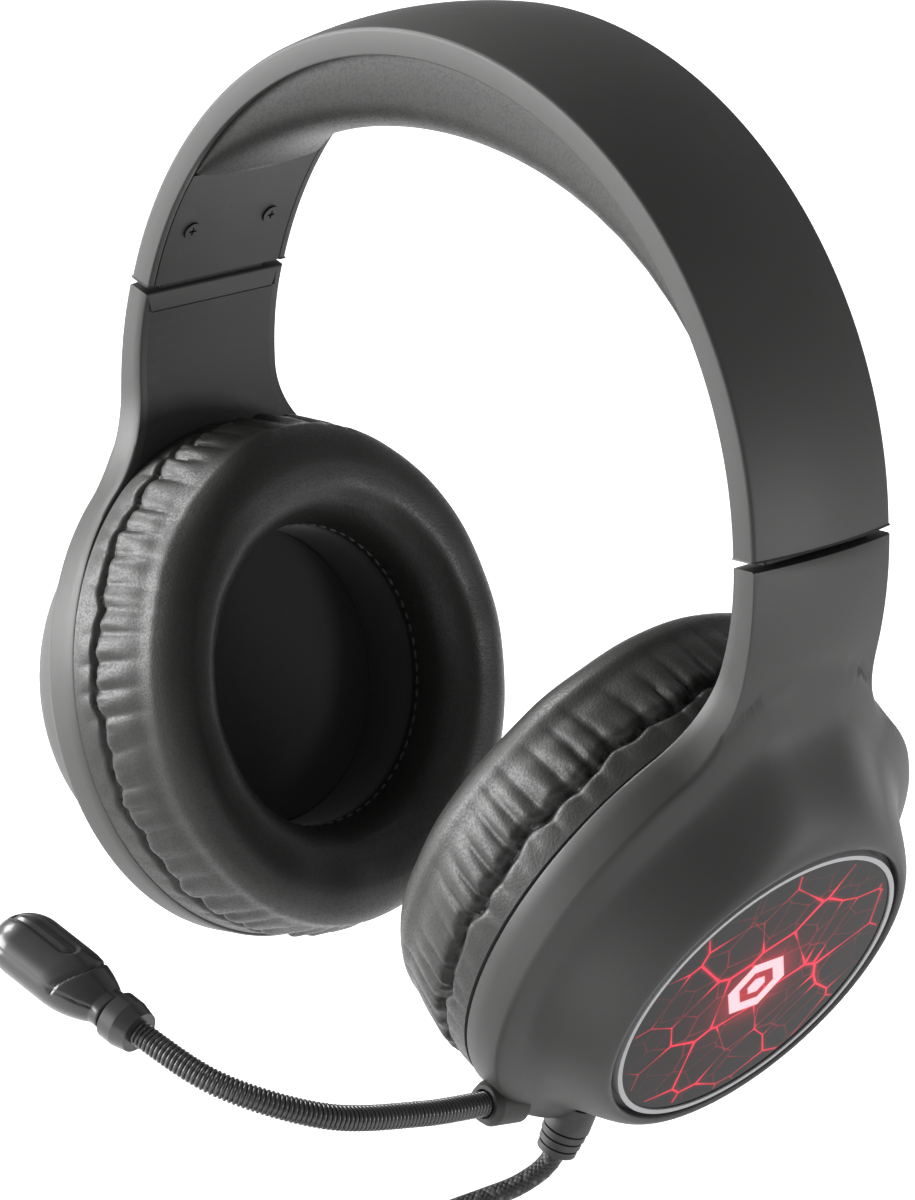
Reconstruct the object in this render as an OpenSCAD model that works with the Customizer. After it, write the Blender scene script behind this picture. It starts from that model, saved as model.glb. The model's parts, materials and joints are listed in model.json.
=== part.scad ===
// Over-ear gaming headset with slide-adjusted cups, a gooseneck microphone and a USB lead.
// Frame: +X is the wearer's left, -Y the wearer's front, +Z up. The origin is the middle of
// the headband pad's underside, where the headset rests on a head or a stand.

/* [Headband] */
// Radius of the arch at the outer edges of the headband
band_r = 83.5; // [76:0.5:96]
// Width of the headband, front to back
band_w = 35; // [30:0.5:41]
// Depth of the headband's side flanges
band_t = 5; // [4.6:0.1:6.5]
// Rise of the crown along the middle of the outer face
band_crown = 1.8; // [1.2:0.1:3]
// Least wall of the headband shell
band_wall = 1.3; // [1:0.1:1.6]
// Angle from the apex to each end of the headband, degrees
band_end = 80.5; // [77:0.5:83]
// How far the headband pad hangs below the side flanges
pad_drop = 17.6; // [12:0.1:21]
// Angle from the apex to each end of the headband pad, degrees
pad_end = 61; // [56:0.5:63]
// Thickness of the spring steel band inside the headband
spring_t = 0.8; // [0.5:0.1:1.2]
// Width of the spring steel band
spring_w = 18; // [12:0.5:24]

/* [Slider] */
// Travel of each slider
slide_travel = 20; // [12:1:21]
// Width of the slider strip
strip_w = 11; // [9:0.5:11]
// Thickness of the slider strip
strip_t = 0.9; // [0.7:0.1:1.1]
// Gap between the headband's end and the arm with the slider closed
slide_gap = 1.5; // [1.2:0.1:4]
// Clearance on each side of the slider strip in its guide
slide_clear = 0.08; // [0.05:0.01:0.1]

/* [Cup] */
// Distance of each cup's centre from the middle plane
cup_x = 64; // [60:0.5:74]
// Depth of the cups' centres below the headband pad
cup_drop = 127.9; // [122:0.1:150]
// Toe-in of the cups, degrees
cup_tilt = 22; // [12:0.5:24]
// Radius of the housing's outer crease, up and down
cup_r = 50; // [46:0.5:58]
// Breadth of the cup in front of its middle, as a share of its height
oval_front = 0.9; // [0.86:0.005:1]
// Breadth of the cup behind its middle, as a share of its height
oval_back = 0.99; // [0.86:0.005:1]
// Depth of the housing's side band
side_band = 8.2; // [7:0.1:11]
// Height of the disc's rim above the outer crease
dome_h = 17.2; // [15:0.1:20]
// Wall of the cup housing
cup_wall = 2.2; // [1.6:0.1:2.6]
// Radius of the front fillet between the arm and the cup
fillet_front = 24; // [16:0.5:34]
// Radius of the rear fillet between the arm and the cup
fillet_back = 20; // [14:0.5:34]
// Distance from the arm's upper end to its inner cover
cover_back = 4; // [3:0.5:8]
// Thickness of the arm at its upper end
arm_t = 5; // [4.6:0.1:6.5]

/* [Disc] */
// Radius of the lit disc window
window_r = 30.8; // [27:0.1:34]
// Radial width of the trim ring around the window
trim_w = 1; // [0.6:0.1:1.6]
// Thickness of the window
window_t = 2; // [1.5:0.1:2.5]

/* [Cushion] */
// Radius of the cushion at its seam, up and down
cushion_r = 50; // [46:0.5:56]
// Thickness of the cushion
cushion_t = 26.8; // [18:0.1:32]
// Radius of the cushion's opening, up and down
opening_r = 29; // [25:0.5:33]

/* [Driver] */
// Diameter of the loudspeaker frame
driver_d = 40; // [30:0.5:44]
// Diameter of the loudspeaker magnet
magnet_d = 19; // [14:0.5:24]

/* [Microphone] */
// Diameter of the gooseneck
neck_d = 4.8; // [4:0.1:5.6]
// Length of the microphone capsule
capsule_l = 31; // [26:0.5:38]
// Width of the microphone capsule
capsule_w = 14.5; // [11:0.5:16]
// Thickness of the microphone capsule
capsule_t = 11.5; // [8:0.5:12]

/* [Lead] */
// Diameter of the braided lead
cord_d = 4; // [3.6:0.1:4.4]
// Length of the strain relief
relief_l = 11; // [9:0.5:16]

/* [Hidden] */
SIDES = ["left", "right"];

// Arch
arch_r = band_r - band_t;              // underside of the side flanges
arch_z = -(arch_r - pad_drop);         // arch centre, so that the pad's underside is at z = 0
roof_r = band_r - band_wall;           // underside of the shell's roof
flange_t = 1.6;                        // thickness of the side flanges
hollow_w = band_w - 2 * flange_t;      // width between the flanges
fit_gap = 0.15;                        // gap around a cover that drops into a frame
cover_t = 1.2;                         // end covers and arm covers
crown_steps = 12;

// End screws
screw_y = 10;
screw_back = 11.5;                     // from the headband's end, along the arch
screw_phi = band_end - screw_back / arch_r * 180 / PI;
boss_d = 4.2;
thread_d = 1.9;
head_d = 3.6;
head_h = 1;

// Slider: straight steel strip along a chord of the arch, under the shell's roof
slide_lean = 90 - band_end + 6;        // outward lean of the way down
guide_low = 1;                         // the guide, counted from the headband's end
guide_high = 5;
stop_w = strip_w + 3.4;                // stop at the strip's upper end
stop_l = 2.6;
strip_in = guide_high + slide_travel + stop_l + 0.2;
strip_out = 15;                        // strip inside the arm
strip_r = arch_r + cover_t + 1;        // middle of the strip at the headband's end
strip_x = strip_r * sin(band_end);
strip_z = arch_z + strip_r * cos(band_end);
pocket_gap = 0.35;

// Cup frame, with local X outward, Z up along the cup
rim_n = -side_band;
cup_sin = sin(cup_tilt);
cup_cos = cos(cup_tilt);
function cup_local(x, z) =
    [(x - cup_x) * cup_cos - (z + cup_drop) * cup_sin,
     (x - cup_x) * cup_sin + (z + cup_drop) * cup_cos];

// Upper end of the arm, one slide gap past the headband's end
end_dir = [cos(band_end), -sin(band_end)];       // down the arch at its end, in X and Z
arm_top_in = [(band_r - arm_t) * sin(band_end), arch_z + (band_r - arm_t) * cos(band_end)]
    + slide_gap * end_dir;
arm_top_out = [band_r * sin(band_end), arch_z + band_r * cos(band_end)] + slide_gap * end_dir;
arm_in_end = cup_local(arm_top_in[0], arm_top_in[1]);
arm_out_end = cup_local(arm_top_out[0], arm_top_out[1]);
arm_lean = 90 - band_end + cup_tilt;             // lean of the arm's end in the cup frame
arm_start = 28;                                  // height where the arm leaves the cup's plane
arm_span = norm(arm_in_end - [rim_n, arm_start]) + 2;
arm_top = arm_start + arm_span;                  // plan height of the arm's end
arm_handle = 19;

function mix(a, b, t) = a + (b - a) * t;
function smooth(a, b, x) = let (t = min(1, max(0, (x - a) / (b - a)))) t * t * (3 - 2 * t);
function bezier(p, t) =
    p[0] * pow(1 - t, 3) + p[1] * 3 * t * pow(1 - t, 2) + p[2] * 3 * t * t * (1 - t) + p[3] * pow(t, 3);
function spine(n0, last, s) = s <= arm_start
    ? [n0, s]
    : bezier([[n0, arm_start], [n0, arm_start + arm_handle],
        last + arm_handle * [sin(arm_lean), -cos(arm_lean)], last], (s - arm_start) / arm_span);
function rim_line(s) = spine(rim_n, arm_in_end, s);
function crease_line(s) = spine(0, arm_out_end, s);
function unit(v) = v / norm(v);

// A point of the cup and arm: y across, s up the plan, d from the rim (0) to the crease (1),
// and h above the crease
function cup_point(y, s, d, h = 0) =
    let (a = rim_line(s), b = crease_line(s), p = mix(a, b, d) + unit(b - a) * h) [p[0], y, p[1]];

// Plan outline of cup and arm as [y, s] points: an oval, a fillet and the arm's straight edge
// on each side. Each half is worked out as a circle of radius r and then narrowed.
arm_half = band_w / 2;
function fillet_mid(r, f, k) = let (y = arm_half / k + f) [y, sqrt(pow(r + f, 2) - y * y)];
function half_outline(r, f, k) = let (
    m = fillet_mid(r, f, k), turn = atan2(m[1], m[0]), circle_space = concat(
    [for (i = [0:4]) [arm_half / k * i / 5, arm_top]],
    [for (i = [0:4]) [arm_half / k, mix(arm_top, m[1], i / 5)]],
    [for (i = [0:7]) m - f * [cos(turn * i / 8), sin(turn * i / 8)]],
    [for (i = [0:22]) let (a = mix(turn, -90, i / 23)) r * [cos(a), sin(a)]]))
    [for (p = circle_space) [p[0] * k, p[1]]];
function reversed(list) = [for (i = [len(list) - 1:-1:0]) list[i]];
function outline(r) = let (
    back = half_outline(r, fillet_back, oval_back), front = half_outline(r, fillet_front, oval_front))
    concat(back, [[0, -r]], [for (p = reversed([for (i = [1:len(front) - 1]) front[i]])) [-p[0], p[1]]]);
function inset(plan, gap) = let (n = len(plan)) [for (i = [0:n - 1]) let (
    p = plan[i], d0 = unit(p - plan[(i + n - 1) % n]), d1 = unit(plan[(i + 1) % n] - p),
    n0 = [d0[1], -d0[0]], m = unit(n0 + [d1[1], -d1[0]])) p + m * gap / (m * n0)];
crease_plan = outline(cup_r);
rim_flare = 0.8;                                 // the rim stands out past the crease
rim_plan = outline(cup_r + rim_flare);
inner_plan = inset(crease_plan, cup_wall + 0.6);
rim_inner_plan = inset(rim_plan, cup_wall);

// Height of the outer face over the crease: a steep boss that runs out into a shallow cone
window_seat_r = window_r + trim_w + 0.2;
boss_r = window_seat_r + 1;
boss_share = 0.62;
boss_reach = 0.7;
face_reach = cup_r + 10;
function crown_at(p) = band_crown * smooth(cup_r - 4, cup_r + 16, p[1])
    * (1 - pow(min(1, abs(p[0]) / arm_half), 2));
function face_height(q, edge) = let (
    t = min(1, (norm(q) - boss_r) / (min(norm(edge), face_reach) - boss_r)))
    crown_at(q) + dome_h * mix(pow(1 - t, 0.75), 1 - smooth(0, boss_reach, t), boss_share);

// Rings of points on the cup: at a depth, round, and over the outer and inner faces
function ring_of(plan, d) = [for (p = plan) cup_point(p[0], p[1], d)];
function round_ring(r, n) = [for (p = crease_plan) [n, r * unit(p)[0], r * unit(p)[1]]];
function face_ring(f) = [for (p = crease_plan) let (q = mix(boss_r * unit(p), p, f))
    cup_point(q[0], q[1], 1, face_height(q, p))];
function inner_ring(f) = [for (i = [0:len(crease_plan) - 1]) let (
    p = crease_plan[i], q = mix(boss_r * unit(p), inner_plan[i], f))
    cup_point(q[0], q[1], 1, max(-side_band * 0.3, face_height(q, p) - cup_wall))];

function rings_faces(count, n, closed) = [
    for (k = [0:n - (closed ? 1 : 2)]) for (i = [0:count - 1]) let (
        j = (i + 1) % count, k2 = (k + 1) % n)
    each [[k * count + i, k2 * count + j, k * count + j], [k * count + i, k2 * count + i, k2 * count + j]]];
module ring_solid(rings) {
    count = len(rings[0]);
    polyhedron([for (r = rings) each r], rings_faces(count, len(rings), true));
}
module tube_solid(rings) {
    count = len(rings[0]);
    n = len(rings);
    polyhedron([for (r = rings) each r], concat(rings_faces(count, n, false),
        [[for (i = [0:count - 1]) i], [for (i = [count - 1:-1:0]) (n - 1) * count + i]]));
}
// As tube_solid, for rings that run along one face and back along the other
module folded_solid(rings) {
    count = len(rings[0]);
    last = (len(rings) - 1) * count;
    ends = [for (i = [0:count / 2 - 2]) let (a = i, b = i + 1, c = count - 2 - i, d = count - 1 - i)
        each [[a, b, c], [a, c, d], [last + a, last + c, last + b], [last + a, last + d, last + c]]];
    polyhedron([for (r = rings) each r], concat(rings_faces(count, len(rings), false), ends));
}
function oval_ring(rv, rh, n, count = 60) = [for (i = [0:count - 1]) let (a = 360 * i / count)
    [n, rh * sin(a), rv * cos(a)]];

// Placing
module side_of(side) {
    mirror([side == "right" ? 1 : 0, 0, 0]) children();
}
module at_cup(side) {
    side_of(side) translate([cup_x, 0, -cup_drop]) rotate([0, cup_tilt, 0]) children();
}
module outward(n) {
    translate([n, 0, 0]) rotate([0, 90, 0]) children();
}
module arch_sweep(from, to) {
    translate([0, 0, arch_z]) rotate([90, 0, 0]) rotate([0, 0, 90 - to])
        rotate_extrude(angle = to - from, $fn = 180) children();
}
module arch_spot(phi, r, y) {
    translate([0, 0, arch_z]) rotate([0, phi, 0]) translate([0, y, r]) children();
}
module plate_xz(points, w) {
    rotate([90, 0, 0]) linear_extrude(w, center = true) polygon(points);
}

// Headband
module band_outline() {
    polygon(concat([[arch_r, -band_w / 2]],
        [for (i = [0:crown_steps]) let (v = mix(-1, 1, i / crown_steps))
            [band_r + band_crown * (1 - v * v), v * band_w / 2]],
        [[arch_r, band_w / 2]]));
}
module slide_slab(w, inner, outer, from, to) {
    translate([strip_x, 0, strip_z]) rotate([0, -slide_lean, 0])
        translate([inner, -w / 2, from]) cube([outer - inner, w, to - from]);
}
module slide_box(w, t, from, to) {
    slide_slab(w, -t / 2, t / 2, from, to);
}
module headband_shell() {
    color([0.2, 0.2, 0.2]) difference() {
        union() {
            difference() {
                arch_sweep(-band_end, band_end) band_outline();
                arch_sweep(-band_end - 1, band_end + 1)
                    translate([arch_r - 1, -hollow_w / 2]) square([roof_r - arch_r + 1, hollow_w]);
                for (side = SIDES) side_of(side)
                    slide_box(stop_w + 2 * pocket_gap, strip_t + 2 * pocket_gap, -1, strip_in + 1.5);
            }
            for (side = SIDES) side_of(side) for (y = [-screw_y, screw_y])
                arch_spot(screw_phi, arch_r + cover_t, y)
                cylinder(d = boss_d, h = roof_r - arch_r - cover_t + 0.3, $fn = 32);
        }
        for (side = SIDES) side_of(side) for (y = [-screw_y, screw_y])
            arch_spot(screw_phi, arch_r, y) cylinder(d = thread_d, h = roof_r - arch_r, $fn = 24);
    }
}

pad_base_t = roof_r - arch_r - spring_t;
// The pad and its base as one arched body, whose hanging depth fades towards both ends
pad_stations = 28;
pad_cols = 16;
base_half = hollow_w / 2 - fit_gap;
function arch_point(r, y, phi) = [r * sin(phi), y, arch_z + r * cos(phi)];
function pad_depth(phi) = max(0.4, pad_drop
    * pow(max(0, 1 - pow(phi / (pad_end + 0.5), 2)), 0.95));
function pad_section(phi) = concat(
    [for (i = [0:pad_cols]) let (v = -cos(180 * i / pad_cols))
        arch_point(arch_r - pad_depth(phi) * pow(max(0, 1 - v * v), 0.42), v * base_half, phi)],
    [for (i = [pad_cols:-1:0]) let (v = -cos(180 * i / pad_cols))
        arch_point(arch_r + pad_base_t, v * base_half, phi)]);
module headband_pad() {
    color([0.11, 0.11, 0.11])
        folded_solid([for (k = [0:pad_stations]) pad_section(mix(pad_end, -pad_end, k / pad_stations))]);
}
module headband_spring() {
    color([0.7, 0.7, 0.72]) arch_sweep(-pad_end + 8, pad_end - 8)
        translate([arch_r + pad_base_t, -spring_w / 2]) square([spring_t, spring_w]);
}
module end_cover(side) {
    color([0.22, 0.22, 0.22]) side_of(side) difference() {
        arch_sweep(pad_end + 0.3, band_end) translate([arch_r, -hollow_w / 2 + fit_gap])
            square([cover_t, hollow_w - 2 * fit_gap]);
        for (y = [-screw_y, screw_y]) arch_spot(screw_phi, arch_r - 1, y) {
            cylinder(d = thread_d + 0.3, h = 4, $fn = 24);
            cylinder(d = head_d + 0.1, h = 1 + head_h * 0.6, $fn = 24);
        }
    }
}
module end_cover_screws() {
    color([0.12, 0.12, 0.12]) for (side = SIDES) side_of(side) for (y = [-screw_y, screw_y])
        arch_spot(screw_phi, arch_r - head_h * 0.4, y) difference() {
            union() {
                cylinder(d = head_d, h = head_h, $fn = 32);
                cylinder(d = thread_d, h = 3.2, $fn = 32);
            }
            for (a = [0, 90]) rotate([0, 0, a]) translate([-0.9, -0.2, -1]) cube([1.8, 0.4, 1.5]);
        }
}
wire_d = 1.2;
module crossover_wire() {
    color([0.1, 0.1, 0.1]) arch_sweep(-pad_end + 3, pad_end - 3)
        translate([roof_r - wire_d / 2, hollow_w / 2 - wire_d - 2]) circle(d = wire_d, $fn = 16);
}
module slider_guide(side) {
    color([0.85, 0.85, 0.82]) side_of(side) intersection() {
        difference() {
            slide_slab(strip_w + 3.6, -strip_t / 2, strip_t / 2 + 3, guide_low, guide_high);
            slide_slab(strip_w + 2 * slide_clear, -strip_t, strip_t / 2 + slide_clear, 0, guide_high + 1);
        }
        arch_sweep(band_end - 12, band_end) translate([arch_r + cover_t, -strip_w]) square(
            [roof_r - arch_r - cover_t, 2 * strip_w]);
    }
}

// Slider strip: straight in the headband, then bent to run down the arm
bend_at = slide_gap + 2;
function strip_side(x) = let (
    a = [strip_x, strip_z], up = [-sin(slide_lean), cos(slide_lean)],
    out = [cos(slide_lean), sin(slide_lean)], b = a - bend_at * up) [a + strip_in * up + x * out, b + x * out, b + [x, -strip_out]];
module slider_strip(side) {
    color([0.75, 0.75, 0.77]) side_of(side) {
        difference() {
            plate_xz(concat(strip_side(-strip_t / 2), reversed(strip_side(strip_t / 2))), strip_w);
            for (z = rivet_drops) translate([0, 0, strip_z - bend_at - z])
                rotate([0, 90, 0]) cylinder(d = rivet_d, h = 3 * cup_x, $fn = 24);
        }
        slide_box(stop_w, strip_t, strip_in - stop_l, strip_in);
    }
}
rivet_d = 2.4;
rivet_drops = [5.5, 11.5];
rivet_x = strip_x + bend_at * sin(slide_lean);
module strip_rivets(side) {
    color([0.6, 0.6, 0.6]) side_of(side) for (z = rivet_drops)
        translate([rivet_x, 0, strip_z - bend_at - z]) rotate([0, 90, 0]) {
            translate([0, 0, -strip_t / 2 - 0.4]) cylinder(d = rivet_d + 1.4, h = 0.4, $fn = 24);
            translate([0, 0, -strip_t / 2]) cylinder(d = rivet_d, h = strip_t + 2.2, $fn = 24);
        }
}

// Cup housing with its arm: one moulding
seat_n = dome_h - window_t - 0.4;        // plane that the window rests on
seat_hole_r = window_seat_r - 3;
face_steps = [0.12, 0.28, 0.46, 0.64, 0.8, 0.91, 0.975];
module cup_housing(side) {
    color([0.23, 0.23, 0.23]) at_cup(side) difference() {
        union() {
            ring_solid(concat(
                [round_ring(seat_hole_r, seat_n - cup_wall), round_ring(seat_hole_r, seat_n),
                 round_ring(window_seat_r, seat_n), round_ring(window_seat_r, dome_h)],
                [for (f = concat([0], face_steps)) face_ring(f)],
                [ring_of(crease_plan, 1), ring_of(crease_plan, 0.92), ring_of(rim_plan, 0.04),
                 ring_of(rim_plan, 0), ring_of(rim_inner_plan, 0), ring_of(rim_inner_plan, 0.3)],
                [for (f = reversed(face_steps)) inner_ring(f)]));
            ring_spots(baffle_screw_r, baffle_screw_angles, baffle_n + baffle_t)
                cylinder(d = boss_d, h = baffle_boss_l, $fn = 24);
            arm_tongue();
        }
        ring_spots(baffle_screw_r, baffle_screw_angles, baffle_n + baffle_t - 1)
            cylinder(d = thread_d, h = baffle_boss_l - 2, $fn = 16);
        slot_in_cup();
        if (side == "left") {
            socket_bore();
            relief_bore();
        }
    }
}
// Tongue that fills the gap around the strip when the slider is closed
tongue_w = 26;
tongue_half_t = 1.3;
module arm_tongue() {
    rotate([0, -cup_tilt, 0]) translate([-cup_x, 0, cup_drop])
        slide_slab(tongue_w, -tongue_half_t, tongue_half_t, -slide_gap - 0.4, -0.25);
}
module slot_in_cup() {
    rotate([0, -cup_tilt, 0]) translate([-cup_x, 0, cup_drop])
        slide_box(strip_w + 0.6, strip_t + 0.8, -bend_at - 4, 2);
}

// Cover on the inside of the arm, from the baffle's edge up to near the arm's end
cover_top = arm_top - cover_back;
cover_lip = 1.8;
cover_low_r = cup_r + rim_flare - cup_wall + 0.4;
cover_low_y = 23;
cover_rows = 12;
cover_cols = 8;
function outline_half(s, f, k) = let (m = fillet_mid(cup_r, f, k)) k * (s >= m[1] ? arm_half / k
    : s <= cup_r * sin(atan2(m[1], m[0])) ? sqrt(cup_r * cup_r - s * s)
    : m[0] - sqrt(f * f - pow(m[1] - s, 2)));
function cover_point(v, k, d) = let (
    side_low = sqrt(cover_low_r * cover_low_r - cover_low_y * cover_low_y),
    s_side = mix(side_low, cover_top, k / cover_rows),
    half = v > 0 ? outline_half(s_side, fillet_back, oval_back)
        : outline_half(s_side, fillet_front, oval_front),
    low = sqrt(cover_low_r * cover_low_r - pow(v * cover_low_y, 2)))
    cup_point(v * (half - cover_lip), mix(low, cover_top, k / cover_rows), d);
function cover_ring(k) = concat(
    [for (i = [0:cover_cols]) cover_point(mix(-1, 1, i / cover_cols), k, 0)],
    [for (i = [cover_cols:-1:0]) cover_point(mix(-1, 1, i / cover_cols), k, cover_t / arm_t)]);
module arm_cover(side) {
    color([0.2, 0.2, 0.2]) at_cup(side) folded_solid([for (k = [0:cover_rows]) cover_ring(k)]);
}

// Inside of the cup
baffle_t = 2;
baffle_n = rim_n - 0.2;
baffle_press = 0.1;
driver_n = baffle_n + baffle_t;
baffle_screw_r = cup_r - 11;
baffle_screw_angles = [35, 145, 215, 325];
baffle_boss_l = 13;
baffle_steps = 96;
function oval_plan(r) = [for (i = [0:baffle_steps - 1]) let (a = 360 * i / baffle_steps)
    r * [sin(a) * (a < 180 ? oval_back : oval_front), cos(a)]];
baffle_plan = inset(oval_plan(cup_r + rim_flare), cup_wall - baffle_press);
module ring_spots(radius, angles, n) {
    for (a = angles) translate([n, radius * (a < 180 ? oval_back : oval_front) * sin(a), radius * cos(a)])
        rotate([0, 90, 0]) children();
}
module baffle(side) {
    color([0.14, 0.14, 0.14]) at_cup(side) difference() {
        translate([baffle_n, 0, 0]) rotate([90, 0, 90]) linear_extrude(baffle_t) polygon(baffle_plan);
        outward(baffle_n - 1) cylinder(d = driver_d - 4, h = baffle_t + 2, $fn = 64);
        ring_spots(baffle_screw_r, baffle_screw_angles, baffle_n - 1) {
            cylinder(d = thread_d + 0.3, h = 4, $fn = 24);
            cylinder(d = head_d + 0.1, h = 1 + head_h, $fn = 24);
        }
    }
}
module baffle_screws(side) {
    color([0.5, 0.5, 0.5]) at_cup(side)
        ring_spots(baffle_screw_r, baffle_screw_angles, baffle_n) {
            cylinder(d = head_d, h = head_h, $fn = 24);
            cylinder(d = thread_d, h = 7, $fn = 24);
        }
}
magnet_h = 5;
module driver_frame(side) {
    color([0.25, 0.27, 0.25]) at_cup(side) outward(driver_n) difference() {
        union() {
            cylinder(d = driver_d, h = 2.4, $fn = 64);
            cylinder(d = driver_d - 8, h = 5, $fn = 64);
        }
        translate([0, 0, -1]) cylinder(d = driver_d - 4, h = 2.2, $fn = 64);
        translate([0, 0, -1]) cylinder(d = magnet_d, h = 8, $fn = 64);
    }
}
module driver_magnet(side) {
    color([0.6, 0.6, 0.62]) at_cup(side) outward(driver_n + 2.2)
        cylinder(d = magnet_d, h = magnet_h, $fn = 64);
}
module diaphragm(side) {
    color([0.8, 0.75, 0.6, 0.9]) at_cup(side) outward(driver_n + 0.6)
        cylinder(d = driver_d - 4, h = 0.4, $fn = 64);
}
cushion_back = rim_n - 0.2;
cushion_front = cushion_back - cushion_t;
cloth_t = 0.8;
module speaker_cloth(side) {
    color([0.08, 0.08, 0.08]) at_cup(side) translate([cushion_back - cloth_t, 0, 0])
        scale([1, opening_oval, 1]) rotate([0, 90, 0]) cylinder(r = opening_r - 0.4, h = cloth_t, $fn = 96);
}
// Cushion section: outer bulge, rounded front, straight opening
cushion_oval = 0.915;
opening_oval = 0.96;
nose_r = 9;
function cushion_profile() = concat(
    [[cushion_r - 1.2, cushion_back], [cushion_r - 0.2, cushion_back - 3.5], [cushion_r, cushion_back - 9],
     [cushion_r - 0.8, cushion_back - 15]],
    [for (a = [15:15:90])
        [cushion_r - nose_r - 1 + nose_r * cos(a), cushion_front + nose_r - nose_r * sin(a)]],
    [for (a = [75:-25:0]) [opening_r + 8.5 - 8.5 * cos(a), cushion_front + 7 - 7 * sin(a)]],
    [[opening_r, cushion_back]]);
function cushion_ring(p) = let (k = smooth(opening_r, cushion_r, p[0]))
    oval_ring(p[0], p[0] * mix(opening_oval, cushion_oval, k), p[1]);
module ear_cushion(side) {
    color([0.1, 0.1, 0.1]) at_cup(side) ring_solid([for (p = cushion_profile()) cushion_ring(p)]);
}

// Lit disc
module disc_window(side) {
    color([0.12, 0.03, 0.05]) at_cup(side) outward(seat_n) cylinder(r = window_r, h = window_t, $fn = 96);
}
module trim_ring(side) {
    color([0.65, 0.65, 0.66]) at_cup(side) outward(seat_n) difference() {
        cylinder(r = window_r + trim_w, h = window_t + 0.3, $fn = 96);
        translate([0, 0, -1]) cylinder(r = window_r, h = window_t + 3, $fn = 96);
    }
}
guide_r = seat_hole_r - 0.2;
guide_t = 2.4;
module light_guide(side) {
    color([0.95, 0.9, 0.9]) at_cup(side) outward(seat_n - guide_t)
        cylinder(r = guide_r, h = guide_t, $fn = 96);
}
board_t = 1.2;
led_count = 6;
module light_board(side) {
    color([0.15, 0.4, 0.2]) at_cup(side) outward(seat_n - guide_t - board_t - 1) {
        difference() {
            cylinder(r = guide_r - 3, h = board_t, $fn = 64);
            translate([0, 0, -1]) cylinder(r = 6, h = board_t + 2, $fn = 48);
        }
        for (a = [0:360 / led_count:359]) rotate([0, 0, a]) translate([16, 0, board_t])
            translate([-1.5, -1.5, 0]) cube([3, 3, 1]);
    }
}
module main_board() {
    color([0.1, 0.35, 0.15]) at_cup("left") translate([driver_n, -11, 22.5 - cup_r + 0.5]) {
        cube([1.2, 22, 5]);
        translate([1.2, 3, 1]) cube([1.2, 5, 3]);
        translate([1.2, 13, 0.5]) cube([2.4, 6, 4]);
    }
}

// Microphone boom: route points by hand, in the headset's frame
mic_points = [[47.5, -34, -162.5], [47, -50, -160], [43.5, -70, -156],
    [31, -84.5, -151], [15, -90, -146]];
neck_r = neck_d / 2;
joint_gap = 0.08;
neck_swing = 22;                                 // the most that each neck joint turns
module along(a, b) {
    d = b - a;
    translate(a) rotate([0, acos(d[2] / norm(d)), atan2(d[1], d[0])]) children();
}
// Hollow for the ball and shank of segment i, wide enough for its rest bend and its swing
function neck_turn(i) = i == 0 ? 0 : let (
    a = mic_points[i] - mic_points[i - 1], b = mic_points[i + 1] - mic_points[i])
    acos(a * b / (norm(a) * norm(b)));
module neck_seat(i) {
    turn = neck_turn(i) + neck_swing + 1;
    sphere(r = neck_r + joint_gap, $fn = 48);
    translate([0, 0, -neck_r * sin(turn)]) cylinder(r1 = neck_r * cos(turn) + 2 * joint_gap,
        r2 = neck_r / cos(turn) + 2 * joint_gap, h = neck_r * sin(turn) + 0.01, $fn = 48);
}
socket_d = 8.6;
socket_l = 8;
module socket_bore() {
    rotate([0, -cup_tilt, 0]) translate([-cup_x, 0, cup_drop])
        along(mic_points[0], mic_points[1]) translate([0, 0, -socket_l - 4])
        cylinder(d = socket_d, h = socket_l + 4, $fn = 48);
}
module mic_socket() {
    color([0.1, 0.1, 0.1]) along(mic_points[0], mic_points[1]) difference() {
        union() {
            translate([0, 0, -socket_l]) cylinder(d = socket_d, h = socket_l - 1.5, $fn = 48);
            translate([0, 0, -1.5]) cylinder(d1 = socket_d, d2 = socket_d - 1.6, h = 1.5, $fn = 48);
        }
        neck_seat(0);
    }
}
module neck_segment(i) {
    length = norm(mic_points[i + 1] - mic_points[i]);
    color([0.07, 0.07, 0.07]) along(mic_points[i], mic_points[i + 1]) difference() {
        union() {
            sphere(r = neck_r, $fn = 48);
            cylinder(r = neck_r, h = length, $fn = 48);
        }
        if (i < len(mic_points) - 2) translate([0, 0, length]) neck_seat(i + 1);
    }
}
module gooseneck_root() {
    neck_segment(0);
}
module gooseneck_middle() {
    neck_segment(1);
}
module gooseneck_upper() {
    neck_segment(2);
}
module gooseneck_tip() {
    neck_segment(3);
}
capsule_dir = [-34.5, -3, 7.4];
capsule_from = mic_points[4];
collar_l = 6;
module at_capsule() {
    along(capsule_from, capsule_from + capsule_dir) children();
}
module mic_collar() {
    color([0.08, 0.08, 0.08]) at_capsule() {
        cylinder(d1 = 8, d2 = 9.4, h = collar_l / 2, $fn = 48);
        translate([0, 0, collar_l / 2]) cylinder(d = 9.4, h = collar_l / 2, $fn = 48);
    }
}
module capsule_solid(grow) {
    hull() {
        translate([0, 0, collar_l + 3.5]) scale([0.8, 1.05, 1]) sphere(d = 8.6 + grow, $fn = 32);
        translate([0, 0, collar_l + capsule_l * 0.42]) scale([capsule_t / capsule_w, 1, 1])
            sphere(d = capsule_w + grow, $fn = 32);
        translate([0, 0, collar_l + capsule_l - capsule_w / 2]) scale([capsule_t / capsule_w, 1, 1])
            sphere(d = capsule_w + grow - 0.6, $fn = 32);
    }
}
module capsule_half(x0) {
    at_capsule() intersection() {
        difference() {
            capsule_solid(0);
            capsule_solid(-2.6);
        }
        translate([x0, -20, collar_l]) cube([20, 40, 60]);
    }
}
module mic_shell_inner() {
    color([0.07, 0.07, 0.07]) capsule_half(-20);
}
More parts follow.
